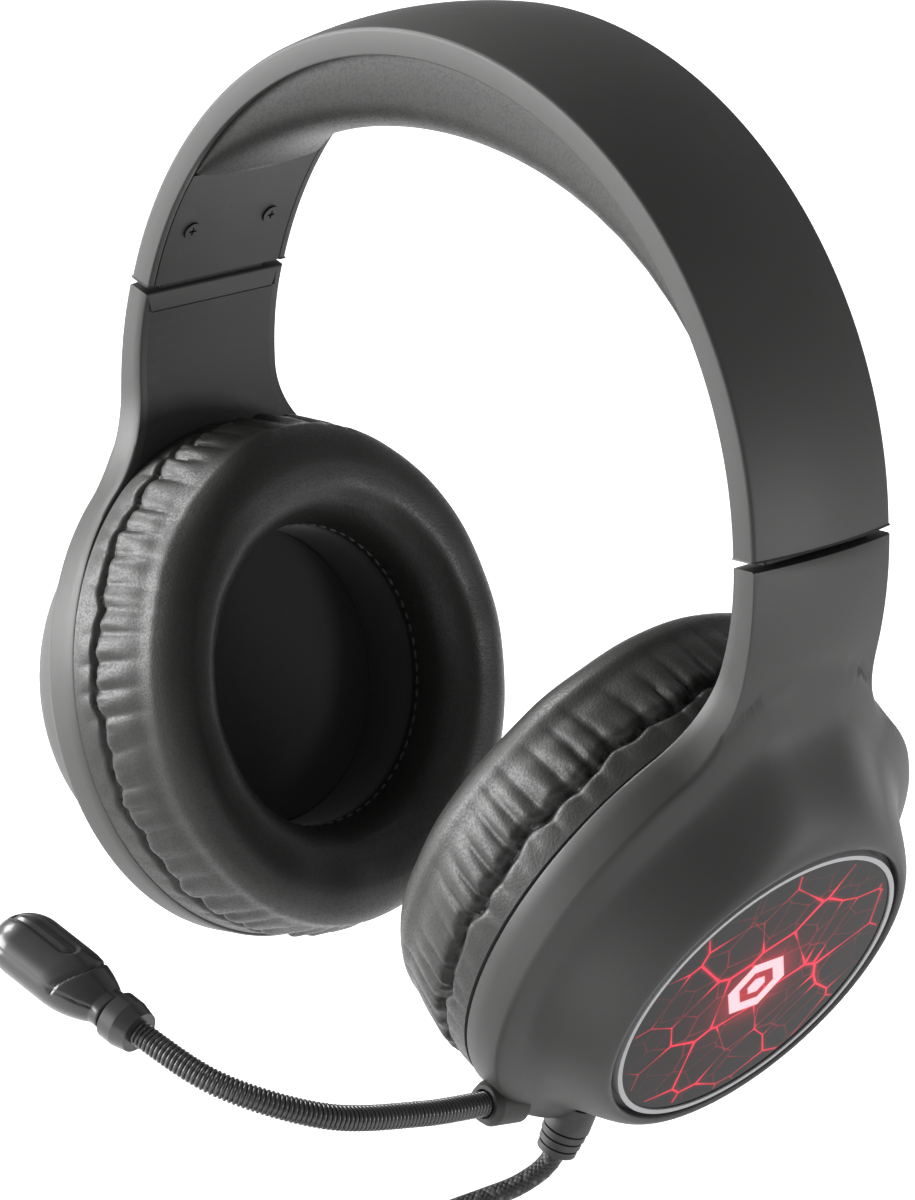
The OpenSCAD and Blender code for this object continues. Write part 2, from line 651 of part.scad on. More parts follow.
module mic_shell_outer() {
    color([0.06, 0.06, 0.06]) capsule_half(0);
}
module mic_element() {
    color([0.7, 0.7, 0.7]) at_capsule() translate([0, 0, collar_l + capsule_l * 0.62])
        rotate([0, 90, 0]) translate([0, 0, -2.3]) cylinder(d = 9.7, h = 4.6, $fn = 32);
}

// Lead: strain relief, tube, coil, tie and plug
relief_at = [46.8, -8.4, -169.6];
relief_dir = [-0.2, -0.15, -0.97];
relief_d1 = 9;
relief_d2 = 7.6;
module at_relief() {
    along(relief_at, relief_at + relief_dir) children();
}
relief_collar_l = 5.5;
module relief_bore() {
    rotate([0, -cup_tilt, 0]) translate([-cup_x, 0, cup_drop])
        at_relief() translate([0, 0, -4]) cylinder(d = relief_d1, h = 4 + relief_collar_l + 3, $fn = 32);
}
rib_count = 3;
module strain_relief() {
    pitch = (relief_l - relief_collar_l) / rib_count;
    color([0.3, 0.3, 0.3]) at_relief() difference() {
        union() {
            cylinder(d = relief_d1, h = relief_collar_l, $fn = 32);
            cylinder(d1 = relief_d1 - 1, d2 = relief_d2 - 1, h = relief_l, $fn = 32);
            for (i = [1:rib_count]) translate([0, 0, relief_collar_l + pitch * i - pitch * 0.7])
                cylinder(d = mix(relief_d1, relief_d2, i / rib_count), h = pitch * 0.7, $fn = 32);
        }
        translate([0, 0, relief_l - 1]) cylinder(d = cord_d, h = 2, $fn = 32);
    }
}
desk_z = -212.5;
coil_mid_d = 46;
coil_columns = 3;
coil_rows = 4;
coil_w = coil_columns * cord_d;
coil_h = coil_rows * cord_d;
coil_at = [40, -86, desk_z];
coil_out_r = (coil_mid_d + coil_w) / 2;
lead_start = relief_at + relief_dir * (relief_l - 1) / norm(relief_dir);
lead_z = desk_z + coil_h - cord_d / 2;           // the lead runs on to the coil's top turns
lead_route = [lead_start, [44, -10.6, -183], [43, -13, -185.5], [41, -17, -188.2], [37.5, -22.5, -190.8],
    [34.5, -28.5, -193], [33, -35, -195], [33.5, -41.5, -197], [36, -47.5, lead_z + 0.3], [39, -51.5, lead_z],
    [coil_at[0], -54, lead_z], [coil_at[0], coil_at[1] + coil_out_r, lead_z]];
function heading(p, i) = unit(p[min(len(p) - 1, i + 1)] - p[max(0, i - 1)]);
function tube_ring(p, i, r, count) = let (
    t = heading(p, i), side = unit(cross(t, [0.3, 0.1, 1])), up = cross(side, t))
    [for (k = [0:count - 1]) let (a = -360 * k / count) p[i] + r * (side * cos(a) + up * sin(a))];
module lead() {
    color([0.12, 0.12, 0.12])
        tube_solid([for (i = [0:len(lead_route) - 1]) tube_ring(lead_route, i, cord_d / 2, 10)]);
}
module lead_coil() {
    color([0.13, 0.13, 0.13]) translate(coil_at) rotate_extrude($fn = 96)
        translate([coil_mid_d / 2 - coil_w / 2, 0]) square([coil_w, coil_h]);
}
module coil_tie() {
    color([0.05, 0.05, 0.05]) translate(coil_at + [coil_mid_d / 2, 0, 0]) rotate([90, 0, 0])
        linear_extrude(6, center = true) difference() {
            translate([-coil_w / 2 - 1, 0]) square([coil_w + 2, coil_h + 1]);
            translate([-coil_w / 2, 0]) square([coil_w, coil_h]);
        }
}
plug_z = desk_z + 4;
plug_sink = 0.8;
plug_reach = sqrt(pow(coil_out_r, 2) - pow(coil_mid_d / 2, 2));
plug_from = coil_at + [coil_mid_d / 2, plug_sink - plug_reach, plug_z - desk_z];
module at_plug() {
    translate(plug_from) rotate([90, 0, 0]) children();
}
grip_l = 24;
module plug_grip() {
    color([0.08, 0.08, 0.08]) at_plug() {
        cylinder(d1 = 5, d2 = 6.5, h = 7, $fn = 32);
        translate([-7.5, -4, 6.5]) cube([15, 8, grip_l - 6.5]);
    }
}
shell_l = 12;
module plug_shell() {
    color([0.75, 0.75, 0.76]) at_plug() translate([-6, -2.25, grip_l]) difference() {
        cube([12, 4.5, shell_l]);
        translate([0.3, 0.3, 0.5]) cube([11.4, 3.9, shell_l]);
    }
}
module plug_tongue() {
    color([0.92, 0.92, 0.92]) at_plug() translate([-5.7, -1.95, grip_l + 0.5]) cube([11.4, 1.9, shell_l - 1]);
}

headband_shell();
headband_pad();
headband_spring();
end_cover_screws();
crossover_wire();
end_cover("left");  // end_cover_left
end_cover("right");  // end_cover_right
slider_guide("left");  // slider_guide_left
slider_guide("right");  // slider_guide_right
slider_strip("left");  // slider_strip_left
slider_strip("right");  // slider_strip_right
strip_rivets("left");  // strip_rivets_left
strip_rivets("right");  // strip_rivets_right
cup_housing("left");  // cup_housing_left
cup_housing("right");  // cup_housing_right
arm_cover("left");  // arm_cover_left
arm_cover("right");  // arm_cover_right
baffle("left");  // baffle_left
baffle("right");  // baffle_right
baffle_screws("left");  // baffle_screws_left
baffle_screws("right");  // baffle_screws_right
driver_frame("left");  // driver_frame_left
driver_frame("right");  // driver_frame_right
driver_magnet("left");  // driver_magnet_left
driver_magnet("right");  // driver_magnet_right
diaphragm("left");  // diaphragm_left
diaphragm("right");  // diaphragm_right
speaker_cloth("left");  // speaker_cloth_left
speaker_cloth("right");  // speaker_cloth_right
ear_cushion("left");  // ear_cushion_left
ear_cushion("right");  // ear_cushion_right
disc_window("left");  // disc_window_left
disc_window("right");  // disc_window_right
trim_ring("left");  // trim_ring_left
trim_ring("right");  // trim_ring_right
light_board("left");  // light_board_left
light_board("right");  // light_board_right
light_guide("left");  // light_guide_left
light_guide("right");  // light_guide_right
main_board();
mic_socket();
gooseneck_root();
gooseneck_middle();
gooseneck_upper();
gooseneck_tip();
mic_collar();
mic_shell_inner();
mic_shell_outer();
mic_element();
strain_relief();
lead();
lead_coil();
coil_tie();
plug_grip();
plug_shell();
plug_tongue();
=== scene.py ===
"""Gaming headset: moulded cups and headband, leatherette pads, a gooseneck microphone and a braided lead."""

import json
import logging
import math
from dataclasses import dataclass, field
from enum import Enum
from typing import Any, Optional, Sequence, Union

import bpy
import numpy as np
from mathutils import Matrix

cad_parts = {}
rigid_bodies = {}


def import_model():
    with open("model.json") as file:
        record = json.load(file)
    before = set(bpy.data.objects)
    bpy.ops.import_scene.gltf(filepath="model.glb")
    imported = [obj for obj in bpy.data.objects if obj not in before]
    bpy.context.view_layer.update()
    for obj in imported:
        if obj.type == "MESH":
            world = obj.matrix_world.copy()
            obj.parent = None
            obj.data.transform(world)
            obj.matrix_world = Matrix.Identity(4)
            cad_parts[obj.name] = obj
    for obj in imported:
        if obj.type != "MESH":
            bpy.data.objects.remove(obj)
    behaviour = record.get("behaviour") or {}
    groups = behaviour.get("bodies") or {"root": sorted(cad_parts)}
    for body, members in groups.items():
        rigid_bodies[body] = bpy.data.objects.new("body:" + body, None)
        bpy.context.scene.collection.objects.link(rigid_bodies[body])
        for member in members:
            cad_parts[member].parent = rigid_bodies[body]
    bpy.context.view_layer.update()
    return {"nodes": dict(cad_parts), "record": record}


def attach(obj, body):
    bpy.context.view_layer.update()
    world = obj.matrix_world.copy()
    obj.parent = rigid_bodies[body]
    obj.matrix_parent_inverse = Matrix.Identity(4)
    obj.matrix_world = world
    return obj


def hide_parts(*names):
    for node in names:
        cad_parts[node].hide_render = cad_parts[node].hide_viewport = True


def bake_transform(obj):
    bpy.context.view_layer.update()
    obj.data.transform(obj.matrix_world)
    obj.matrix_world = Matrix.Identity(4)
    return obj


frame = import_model()

log = logging.getLogger("headset")
MM = 0.001
Colour = tuple[float, float, float]
Points = np.ndarray
Value = Union["Signal", bpy.types.NodeSocket, float, tuple]


class Side(Enum):
    """The wearer's left or right, with its sign along X."""

    LEFT = 1
    RIGHT = -1

    @property
    def word(self) -> str:
        """The side's name in lower case."""
        return self.name.lower()


# ---------------------------------------------------------------- small maths

def mix(a: Any, b: Any, t: Any) -> Any:
    """A value between a and b, at share t."""
    return a + (b - a) * t


def smooth(a: float, b: float, x: Any) -> Any:
    """A smooth step of x from 0 at a to 1 at b."""
    t = np.clip((x - a) / (b - a), 0.0, 1.0)
    return t * t * (3 - 2 * t)


def unit(v: Points) -> Points:
    """The vectors of v at length 1."""
    v = np.asarray(v, float)
    return v / np.linalg.norm(v, axis=-1, keepdims=True)


def through(knots: Sequence[Sequence[float]], per_span: int) -> Points:
    """A smooth line through every knot, with per_span points for each gap.

    Args:
        knots: The points to pass.
        per_span: How many points each span gets.
    Returns:
        The line's points, ends included.
    """
    p = np.asarray(knots, float)
    p = np.vstack([2 * p[0] - p[1], p, 2 * p[-1] - p[-2]])
    out = []
    for i in range(1, len(p) - 2):
        for t in np.arange(per_span) / per_span:
            a, b, c, d = p[i - 1], p[i], p[i + 1], p[i + 2]
            out.append(0.5 * (2 * b + (c - a) * t + (2 * a - 5 * b + 4 * c - d) * t * t
                              + (3 * b - a - 3 * c + d) * t ** 3))
    return np.array(out + [p[-2]])


def evenly(line: Points, count: int) -> Points:
    """The same line with count points at even distances."""
    steps = np.linalg.norm(np.diff(line, axis=0), axis=1)
    along = np.concatenate([[0], np.cumsum(steps)])
    want = np.linspace(0, along[-1], count)
    return np.stack([np.interp(want, along, line[:, k]) for k in range(line.shape[1])], 1)


def frames_along(line: Points) -> tuple[Points, Points, Points]:
    """Directions carried along a line without twist.

    Args:
        line: The line's points.
    Returns:
        The tangent, the side and the up vector at each point.
    """
    tangent = unit(np.gradient(line, axis=0))
    side = np.zeros_like(line)
    start = np.cross(tangent[0], [0.3, 0.1, 1.0])
    side[0] = unit(start)
    for i in range(1, len(line)):
        s = side[i - 1] - tangent[i] * np.dot(side[i - 1], tangent[i])
        side[i] = unit(s)
    return tangent, side, np.cross(tangent, side)


# ---------------------------------------------------------------- meshes

def grid_faces(rows: int, cols: int, wrap_rows: bool = False, wrap_cols: bool = True) -> list[tuple]:
    """Quads over a grid of points that is stored row by row.

    Args:
        rows: Number of rows.
        cols: Number of points in each row.
        wrap_rows: Join the last row to the first.
        wrap_cols: Join the last point of each row to its first.
    Returns:
        The quads as index tuples.
    """
    faces = []
    for k in range(rows if wrap_rows else rows - 1):
        for i in range(cols if wrap_cols else cols - 1):
            j, m = (i + 1) % cols, (k + 1) % rows
            faces.append((k * cols + i, k * cols + j, m * cols + j, m * cols + i))
    return faces


def mesh_piece(name: str, points: Points, faces: Sequence[Sequence[int]],
               materials: Sequence[bpy.types.Material], flip: bool = False, crease_deg: float = 40.0,
               uv: Optional[Points] = None, material_of: Optional[Sequence[int]] = None) -> bpy.types.Object:
    """A mesh object from points in millimetres.

    Args:
        name: The piece's name.
        points: Its points.
        faces: Its faces.
        materials: Its materials.
        flip: Turn every face over.
        crease_deg: Edges sharper than this are shaded sharp.
        uv: A UV pair for each corner, in the order of the faces.
        material_of: The material index of each face.
    Returns:
        The object, linked to the scene.
    """
    mesh = bpy.data.meshes.new(name)
    if flip:
        faces = [tuple(reversed(f)) for f in faces]
    mesh.from_pydata((np.asarray(points, float) * MM).tolist(), [], [tuple(f) for f in faces])
    if uv is not None:
        layer = mesh.uv_layers.new(name="UVMap")
        layer.data.foreach_set("uv", np.asarray(uv, np.float32).ravel())
    for material in materials:
        mesh.materials.append(material)
    if material_of is not None:
        mesh.polygons.foreach_set("material_index", np.asarray(material_of, np.int32))
    mesh.validate(clean_customdata=False)
    mesh.update()
    mesh.shade_smooth()
    mesh.set_sharp_from_angle(angle=math.radians(crease_deg))
    piece = bpy.data.objects.new(name, mesh)
    bpy.context.scene.collection.objects.link(piece)
    return piece


def tube(name: str, line: Points, radius: Union[float, Points], around: int,
         material: bpy.types.Material, turns_uv: bool = False) -> bpy.types.Object:
    """A round tube with closed ends along a line.

    Args:
        name: The piece's name.
        line: The line's points in millimetres.
        radius: One radius or one for each point.
        around: Points round the tube.
        material: Its material.
        turns_uv: Give it a UV map, U round the tube and V along it in metres.
    Returns:
        The object.
    """
    count = len(line)
    _, side, up = frames_along(line)
    r = np.broadcast_to(np.asarray(radius, float), (count,))
    a = np.arange(around) * 2 * math.pi / around
    rings = (line[:, None] + r[:, None, None] * (side[:, None] * np.cos(a)[None, :, None]
                                                + up[:, None] * np.sin(a)[None, :, None]))
    faces = grid_faces(count, around)
    uv = None
    if turns_uv:
        along = np.concatenate([[0], np.cumsum(np.linalg.norm(np.diff(line, axis=0), axis=1))]) * MM
        uv = []
        for k in range(count - 1):
            for i in range(around):
                u0, u1 = i / around, (i + 1) / around
                uv += [(u0, along[k]), (u1, along[k]), (u1, along[k + 1]), (u0, along[k + 1])]
        uv += [(0, 0)] * around + [(0, along[-1])] * around
    faces.append(tuple(reversed(range(around))))
    faces.append(tuple((count - 1) * around + i for i in range(around)))
    return mesh_piece(name, rings.reshape(-1, 3), faces, [material], uv=uv)


def rounded(corners: Sequence[Sequence[float]], radii: Sequence[float], steps: int = 4) -> Points:
    """A closed outline with its corners rounded.

    Args:
        corners: The corners in order.
        radii: A radius for each corner, 0 to keep it.
        steps: Points on each rounding.
    Returns:
        The outline's points.
    """
    p = np.asarray(corners, float)
    out = []
    for i, r in enumerate(radii):
        if r <= 0:
            out.append(p[i])
            continue
        a, b = unit(p[i - 1] - p[i]), unit(p[(i + 1) % len(p)] - p[i])
        for t in np.linspace(0, 1, steps + 1):
            out.append(p[i] + r * ((1 - t) ** 2 * a + t ** 2 * b))
    return np.array(out)


def drawn_in(outline: Points, gap: float) -> Points:
    """A closed outline moved to its left by gap."""
    d0 = unit(outline - np.roll(outline, 1, axis=0))
    d1 = unit(np.roll(outline, -1, axis=0) - outline)
    n0 = np.stack([-d0[:, 1], d0[:, 0]], 1)
    m = unit(n0 + np.stack([-d1[:, 1], d1[:, 0]], 1))
    return outline + m * (gap / np.maximum((m * n0).sum(1), 0.3))[:, None]


def declare(piece: bpy.types.Object, body: str, slot: str, *replaced: str) -> None:
    """States a finished piece's body, and reports it.

    Args:
        piece: The piece.
        body: The body that it rides on.
        slot: Its material slot; not used.
        replaced: The CAD nodes that it stands for.
    """
    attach(piece, body)
    if replaced:
        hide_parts(*replaced)
    log.info("%s: %d faces", piece.name, len(piece.data.polygons))


@dataclass
class Inflation:
    """Cloth pressure that puffs a skin out from a slightly smaller start."""

    pressure: float = 4.0
    mass: float = 0.02
    stretch: float = 20.0
    shear: float = 10.0
    bend: float = 2.0
    frames: int = 20
    most_mm: float = 1.0

    def run(self, name: str, points: Points, faces: Sequence[Sequence[int]], pinned: Points) -> Points:
        """The movement of each point under the cloth simulation.

        Args:
            name: A name for the skin.
            points: The start points in millimetres.
            faces: The skin's faces.
            pinned: True for each point that is sewn down.
        Returns:
            The capped movements in millimetres.
        """
        skin = mesh_piece(name, points, faces, [])
        group = skin.vertex_groups.new(name="sewn")
        group.add([int(i) for i in np.nonzero(pinned)[0]], 1.0, "REPLACE")
        cloth = skin.modifiers.new("Cloth", "CLOTH")
        setting = cloth.settings
        setting.vertex_group_mass = "sewn"
        setting.mass = self.mass
        setting.tension_stiffness = setting.compression_stiffness = self.stretch
        setting.shear_stiffness = self.shear
        setting.bending_stiffness = self.bend
        setting.use_pressure = True
        setting.uniform_pressure_force = self.pressure
        setting.effector_weights.gravity = 0
        cloth.point_cache.frame_end = self.frames
        scene = bpy.context.scene
        for step in range(1, self.frames + 1):
            scene.frame_set(step)
        ready = skin.evaluated_get(bpy.context.evaluated_depsgraph_get())
        moved = np.zeros(len(points) * 3, np.float32)
        ready.data.vertices.foreach_get("co", moved)
        scene.frame_set(1)
        bpy.data.objects.remove(skin)
        shift = moved.reshape(-1, 3).astype(float) / MM - points
        size = np.linalg.norm(shift, axis=1, keepdims=True)
        log.info("%s puffed out by at most %.2f mm", name, size.max())
        return shift * np.minimum(1.0, self.most_mm / np.maximum(size, 1e-9))


# ---------------------------------------------------------------- geometry node trees

class NodeMaker:
    """Adds nodes to the tree that a subclass makes."""

    tree: bpy.types.NodeTree

    def node(self, kind: str, settings: Optional[dict] = None,
             values: Optional[dict] = None) -> bpy.types.Node:
        """Adds a node.

        Args:
            kind: The node's type.
            settings: Attributes, set first.
            values: Values or links for its sockets, by name or index.
        Returns:
            The node.
        """
        made = self.tree.nodes.new(kind)
        for key, value in (settings or {}).items():
            setattr(made, key, value)
        for key, value in (values or {}).items():
            self.give(made.inputs[key], value)
        return made

    def give(self, socket: bpy.types.NodeSocket, value: Value) -> None:
        """Links or sets one socket."""
        if isinstance(value, Signal):
            value = value.socket
        if isinstance(value, bpy.types.NodeSocket):
            self.tree.links.new(value, socket)
        elif isinstance(value, tuple) and len(value) == 3 and socket.type == "RGBA":
            socket.default_value = (*value, 1.0)
        else:
            socket.default_value = value


class GeometryTree(NodeMaker):
    """A Geometry Nodes tree with named inputs, baked into plain meshes."""

    def __init__(self, name: str) -> None:
        """Starts a tree whose first input and only output are geometry."""
        self.tree = bpy.data.node_groups.new(name, "GeometryNodeTree")
        face = self.tree.interface
        face.new_socket(name="Geometry", in_out="INPUT", socket_type="NodeSocketGeometry")
        face.new_socket(name="Geometry", in_out="OUTPUT", socket_type="NodeSocketGeometry")
        self.entry = self.tree.nodes.new("NodeGroupInput")
        self.exit = self.tree.nodes.new("NodeGroupOutput")
        self.ids: dict[str, str] = {}

    def size(self, name: str, default: float) -> bpy.types.NodeSocket:
        """Adds a named number input and returns its socket inside the tree."""
        made = self.tree.interface.new_socket(name=name, in_out="INPUT", socket_type="NodeSocketFloat")
        made.default_value = default
        self.ids[name] = made.identifier
        return next(s for s in self.entry.outputs if s.identifier == made.identifier)

    def end(self, geometry: bpy.types.NodeSocket, material: bpy.types.Material) -> None:
        """Realizes the instances and sets the material."""
        real = self.node("GeometryNodeRealizeInstances", values={0: geometry})
        smooth_shade = self.node("GeometryNodeSetShadeSmooth", values={0: real.outputs[0]})
        dressed = self.node("GeometryNodeSetMaterial",
                            values={0: smooth_shade.outputs[0], "Material": material})
        self.tree.links.new(dressed.outputs[0], self.exit.inputs[0])

    def bake(self, name: str, line: Points, closed: bool, **sizes: float) -> bpy.types.Object:
        """Runs the tree on a line and keeps the result as a plain mesh.

        Args:
            name: The piece's name.
            line: The line's points in millimetres.
            closed: Join the line's ends.
            sizes: Values for the named inputs.
        Returns:
            The finished object.
        """
        count = len(line)
        edges = [(i, i + 1) for i in range(count - 1)] + ([(count - 1, 0)] if closed else [])
        guide = bpy.data.meshes.new(name + "_guide")
        guide.from_pydata((line * MM).tolist(), edges, [])
        piece = bpy.data.objects.new(name, guide)
        bpy.context.scene.collection.objects.link(piece)
        modifier = piece.modifiers.new("Build", "NODES")
        modifier.node_group = self.tree
        for key, value in sizes.items():
            modifier[self.ids[key]] = value
        ready = piece.evaluated_get(bpy.context.evaluated_depsgraph_get())
        mesh = bpy.data.meshes.new_from_object(ready)
        piece.modifiers.clear()
        piece.data = mesh
        mesh.name = name
        bpy.data.meshes.remove(guide)
        return piece


class RibbedNeck(GeometryTree):
    """A tube wrapped in close round ribs."""

    def __init__(self, material: bpy.types.Material) -> None:
        """Builds the tree: a core tube and a ring at each pitch."""
        super().__init__("Ribbed_neck")
        radius = self.size("radius", 0.0024)
        wire = self.size("wire", 0.0005)
        pitch = self.size("pitch", 0.0011)
        path = self.node("GeometryNodeMeshToCurve", values={0: self.entry.outputs[0]})
        core_size = self.node("ShaderNodeMath", {"operation": "SUBTRACT"}, {0: radius, 1: wire})
        core_ring = self.node("GeometryNodeCurvePrimitiveCircle",
                              values={"Resolution": 20, "Radius": core_size.outputs[0]})
        core = self.node("GeometryNodeCurveToMesh", values={0: path.outputs[0], 1: core_ring.outputs[0],
                                                            "Fill Caps": True})
        spots = self.node("GeometryNodeCurveToPoints", {"mode": "LENGTH"}, {0: path.outputs[0],
                                                                            "Length": pitch})
        ring = self.node("GeometryNodeCurvePrimitiveCircle",
                         values={"Resolution": 24, "Radius": core_size.outputs[0]})
        section = self.node("GeometryNodeCurvePrimitiveCircle", values={"Resolution": 8, "Radius": wire})
        rib = self.node("GeometryNodeCurveToMesh", values={0: ring.outputs[0], 1: section.outputs[0]})
        ribs = self.node("GeometryNodeInstanceOnPoints", values={
            "Points": spots.outputs["Points"], "Instance": rib.outputs[0],
            "Rotation": spots.outputs["Rotation"]})
        both = self.node("GeometryNodeJoinGeometry")
        self.tree.links.new(core.outputs[0], both.inputs[0])
        self.tree.links.new(ribs.outputs[0], both.inputs[0])
        self.end(both.outputs[0], material)


class StitchRow(GeometryTree):
    """A row of short thread stitches along a line."""

    def __init__(self, material: bpy.types.Material) -> None:
        """Builds the tree: a small stitch at each pitch, a little uneven."""
        super().__init__("Stitch_row")
        pitch = self.size("pitch", 0.003)
        thread = self.size("thread", 0.0003)
        path = self.node("GeometryNodeMeshToCurve", values={0: self.entry.outputs[0]})
        spots = self.node("GeometryNodeCurveToPoints", {"mode": "LENGTH"}, {0: path.outputs[0],
                                                                            "Length": pitch})
        stitch = self.node("GeometryNodeMeshUVSphere", values={"Segments": 8, "Rings": 6, "Radius": thread})
        uneven = self.node("FunctionNodeRandomValue", {"data_type": "FLOAT_VECTOR"},
                           {0: (0.9, 0.9, 3.0), 1: (1.1, 1.1, 3.6), "Seed": 7})
        row = self.node("GeometryNodeInstanceOnPoints", values={
            "Points": spots.outputs["Points"], "Instance": stitch.outputs[0],
            "Rotation": spots.outputs["Rotation"], "Scale": uneven.outputs[0]})
        self.end(row.outputs[0], material)


# ---------------------------------------------------------------- shader toolkit

class Signal:
    """A number that varies over a surface; its operators add Math nodes."""

    def __init__(self, graph: "Graph", socket: bpy.types.NodeSocket) -> None:
        """Wraps a socket of a graph."""
        self.graph = graph
        self.socket = socket

    def __add__(self, other: Value) -> "Signal":
        """Sum."""
        return self.graph.maths("ADD", self, other)

    __radd__ = __add__

    def __sub__(self, other: Value) -> "Signal":
        """Difference."""
        return self.graph.maths("SUBTRACT", self, other)

    def __rsub__(self, other: Value) -> "Signal":
        """Difference from a number."""
        return self.graph.maths("SUBTRACT", other, self)

    def __mul__(self, other: Value) -> "Signal":
        """Product."""
        return self.graph.maths("MULTIPLY", self, other)

    __rmul__ = __mul__

    def __truediv__(self, other: Value) -> "Signal":
        """Quotient."""
        return self.graph.maths("DIVIDE", self, other)

    def __pow__(self, other: Value) -> "Signal":
        """Power."""
        return self.graph.maths("POWER", self, other)

    def __abs__(self) -> "Signal":
        """Size without sign."""
        return self.graph.maths("ABSOLUTE", self)

    def ramp(self, low: float, high: float) -> "Signal":
        """A smooth step from 0 at low to 1 at high."""
        made = self.graph.node("ShaderNodeMapRange", {"interpolation_type": "SMOOTHSTEP"},
                               {0: self, 1: low, 2: high, 3: 0.0, 4: 1.0})
        return Signal(self.graph, made.outputs[0])


class Graph(NodeMaker):
    """The nodes of one material."""

    def __init__(self, name: str) -> None:
        """Makes the material with an empty Principled shader."""
        self.material = bpy.data.materials.new(name)
        self.material.use_nodes = True
        self.tree = self.material.node_tree
        self.tree.nodes.clear()
        self.shader = self.node("ShaderNodeBsdfPrincipled")
        end = self.node("ShaderNodeOutputMaterial")
        self.tree.links.new(self.shader.outputs[0], end.inputs[0])
        place = self.node("ShaderNodeTexCoord")
        self.place = place.outputs["Object"]
        self.uv = place.outputs["UV"]

    def maths(self, operation: str, *values: Value) -> Signal:
        """A Math node on the values."""
        made = self.node("ShaderNodeMath", {"operation": operation}, dict(enumerate(values)))
        return Signal(self, made.outputs[0])

    def noise(self, size_mm: float, detail: float = 2.0, rough: float = 0.5,
              place: Optional[bpy.types.NodeSocket] = None) -> Signal:
        """Noise whose lumps are about size_mm across."""
        made = self.node("ShaderNodeTexNoise", {"noise_dimensions": "3D"}, {
            "Vector": place or self.place, "Scale": 1 / (size_mm * MM), "Detail": detail, "Roughness": rough})
        return Signal(self, made.outputs[0])

    def cells(self, size_mm: float, place: bpy.types.NodeSocket) -> Signal:
        """The distance to the middle of cells about size_mm across."""
        made = self.node("ShaderNodeTexVoronoi", {"feature": "F1"}, {
            "Vector": place, "Scale": 1 / (size_mm * MM)})
        return Signal(self, made.outputs["Distance"])

    def mixed(self, share: Value, a: Value, b: Value) -> bpy.types.NodeSocket:
        """A colour between a and b."""
        made = self.node("ShaderNodeMix", {"data_type": "RGBA"}, {0: share, 6: a, 7: b})
        return made.outputs[2]

    def vector(self, operation: str, *values: Value) -> bpy.types.Node:
        """A Vector Math node on the values."""
        return self.node("ShaderNodeVectorMath", {"operation": operation}, dict(enumerate(values)))

    def split(self, vector: bpy.types.NodeSocket) -> tuple[Signal, Signal, Signal]:
        """The three parts of a vector."""
        made = self.node("ShaderNodeSeparateXYZ", values={0: vector})
        return tuple(Signal(self, s) for s in made.outputs)

    def colour(self, value: Value) -> None:
        """Sets or links the base colour."""
        self.give(self.shader.inputs["Base Color"], value)

    def rough(self, value: Value) -> None:
        """Sets or links the roughness."""
        self.give(self.shader.inputs["Roughness"], value)

    def bump(self, height: Value, depth_mm: float, strength: float = 1.0) -> None:
        """Raises the surface by the height signal."""
        made = self.node("ShaderNodeBump", values={"Height": height, "Distance": depth_mm * MM,
                                                   "Strength": strength})
        self.tree.links.new(made.outputs[0], self.shader.inputs["Normal"])

    def set(self, **values: float) -> None:
        """Sets the shader's own constant sockets; underscores stand for spaces."""
        for key, value in values.items():
            self.give(self.shader.inputs[key.replace("_", " ")], value)


# ---------------------------------------------------------------- finishes

@dataclass(frozen=True)
class MouldedPlastic:
    """Textured moulded plastic: fine spark grain, faint flow marks and rubbed patches."""

    colour: Colour
    roughness: float = 0.45
    grain_mm: float = 0.35
    grain_depth_mm: float = 0.015
    coat: float = 0.0

    def make(self, name: str) -> bpy.types.Material:
        """The finish as a material."""
        g = Graph(name)
        flow = g.noise(24, 3)
        grain = g.noise(self.grain_mm, 2, 0.6)
        pits = g.noise(self.grain_mm * 3, 1)
        rubbed = g.noise(9, 4, 0.65).ramp(0.55, 0.8)
        dark = tuple(c * 0.82 for c in self.colour)
        light = tuple(min(1.0, c * 1.15) for c in self.colour)
        g.colour(g.mixed(flow * 0.7 + grain * 0.3, dark, light))
        g.rough(self.roughness - 0.07 * rubbed + 0.06 * grain)
        g.bump(grain + pits * 0.6, self.grain_depth_mm, 0.6)
        g.set(Coat_Weight=self.coat, Coat_Roughness=0.25, Specular_IOR_Level=0.4)
        return g.material


@dataclass(frozen=True)
class Leatherette:
    """Soft leatherette: pebbled grain with painted shade in its creases, a little sheen and worn lights."""

    colour: Colour
    roughness: float = 0.42
    pebble_mm: float = 0.9
    depth_mm: float = 0.07

    def make(self, name: str) -> bpy.types.Material:
        """The finish as a material."""
        g = Graph(name)
        bend = g.node("ShaderNodeTexNoise", values={"Vector": g.place, "Scale": 1 / (2.5 * MM)})
        shifted = g.vector("SCALE", bend.outputs["Color"])
        g.give(shifted.inputs["Scale"], 0.6 * MM)
        place = g.vector("ADD", g.place, shifted.outputs[0]).outputs[0]
        crease = g.cells(self.pebble_mm, place).ramp(0.35, 0.75)
        fine = g.noise(self.pebble_mm * 0.35, 2)
        patch = g.noise(16, 3)
        dark = tuple(c * 0.55 for c in self.colour)
        light = tuple(min(1.0, c * 1.3) for c in self.colour)
        # painted shade: the creases between the pebbles are coloured darker where the bump sinks
        g.colour(g.mixed(patch * 0.6 + (1 - crease) * 0.35, dark, light))
        g.rough(self.roughness + 0.12 * crease + 0.08 * patch - 0.04)
        g.bump((1 - crease) * 0.8 + fine * 0.35, self.depth_mm, 0.55)
        g.set(Specular_IOR_Level=0.34, Coat_Weight=0.06, Coat_Roughness=0.3)
        return g.material


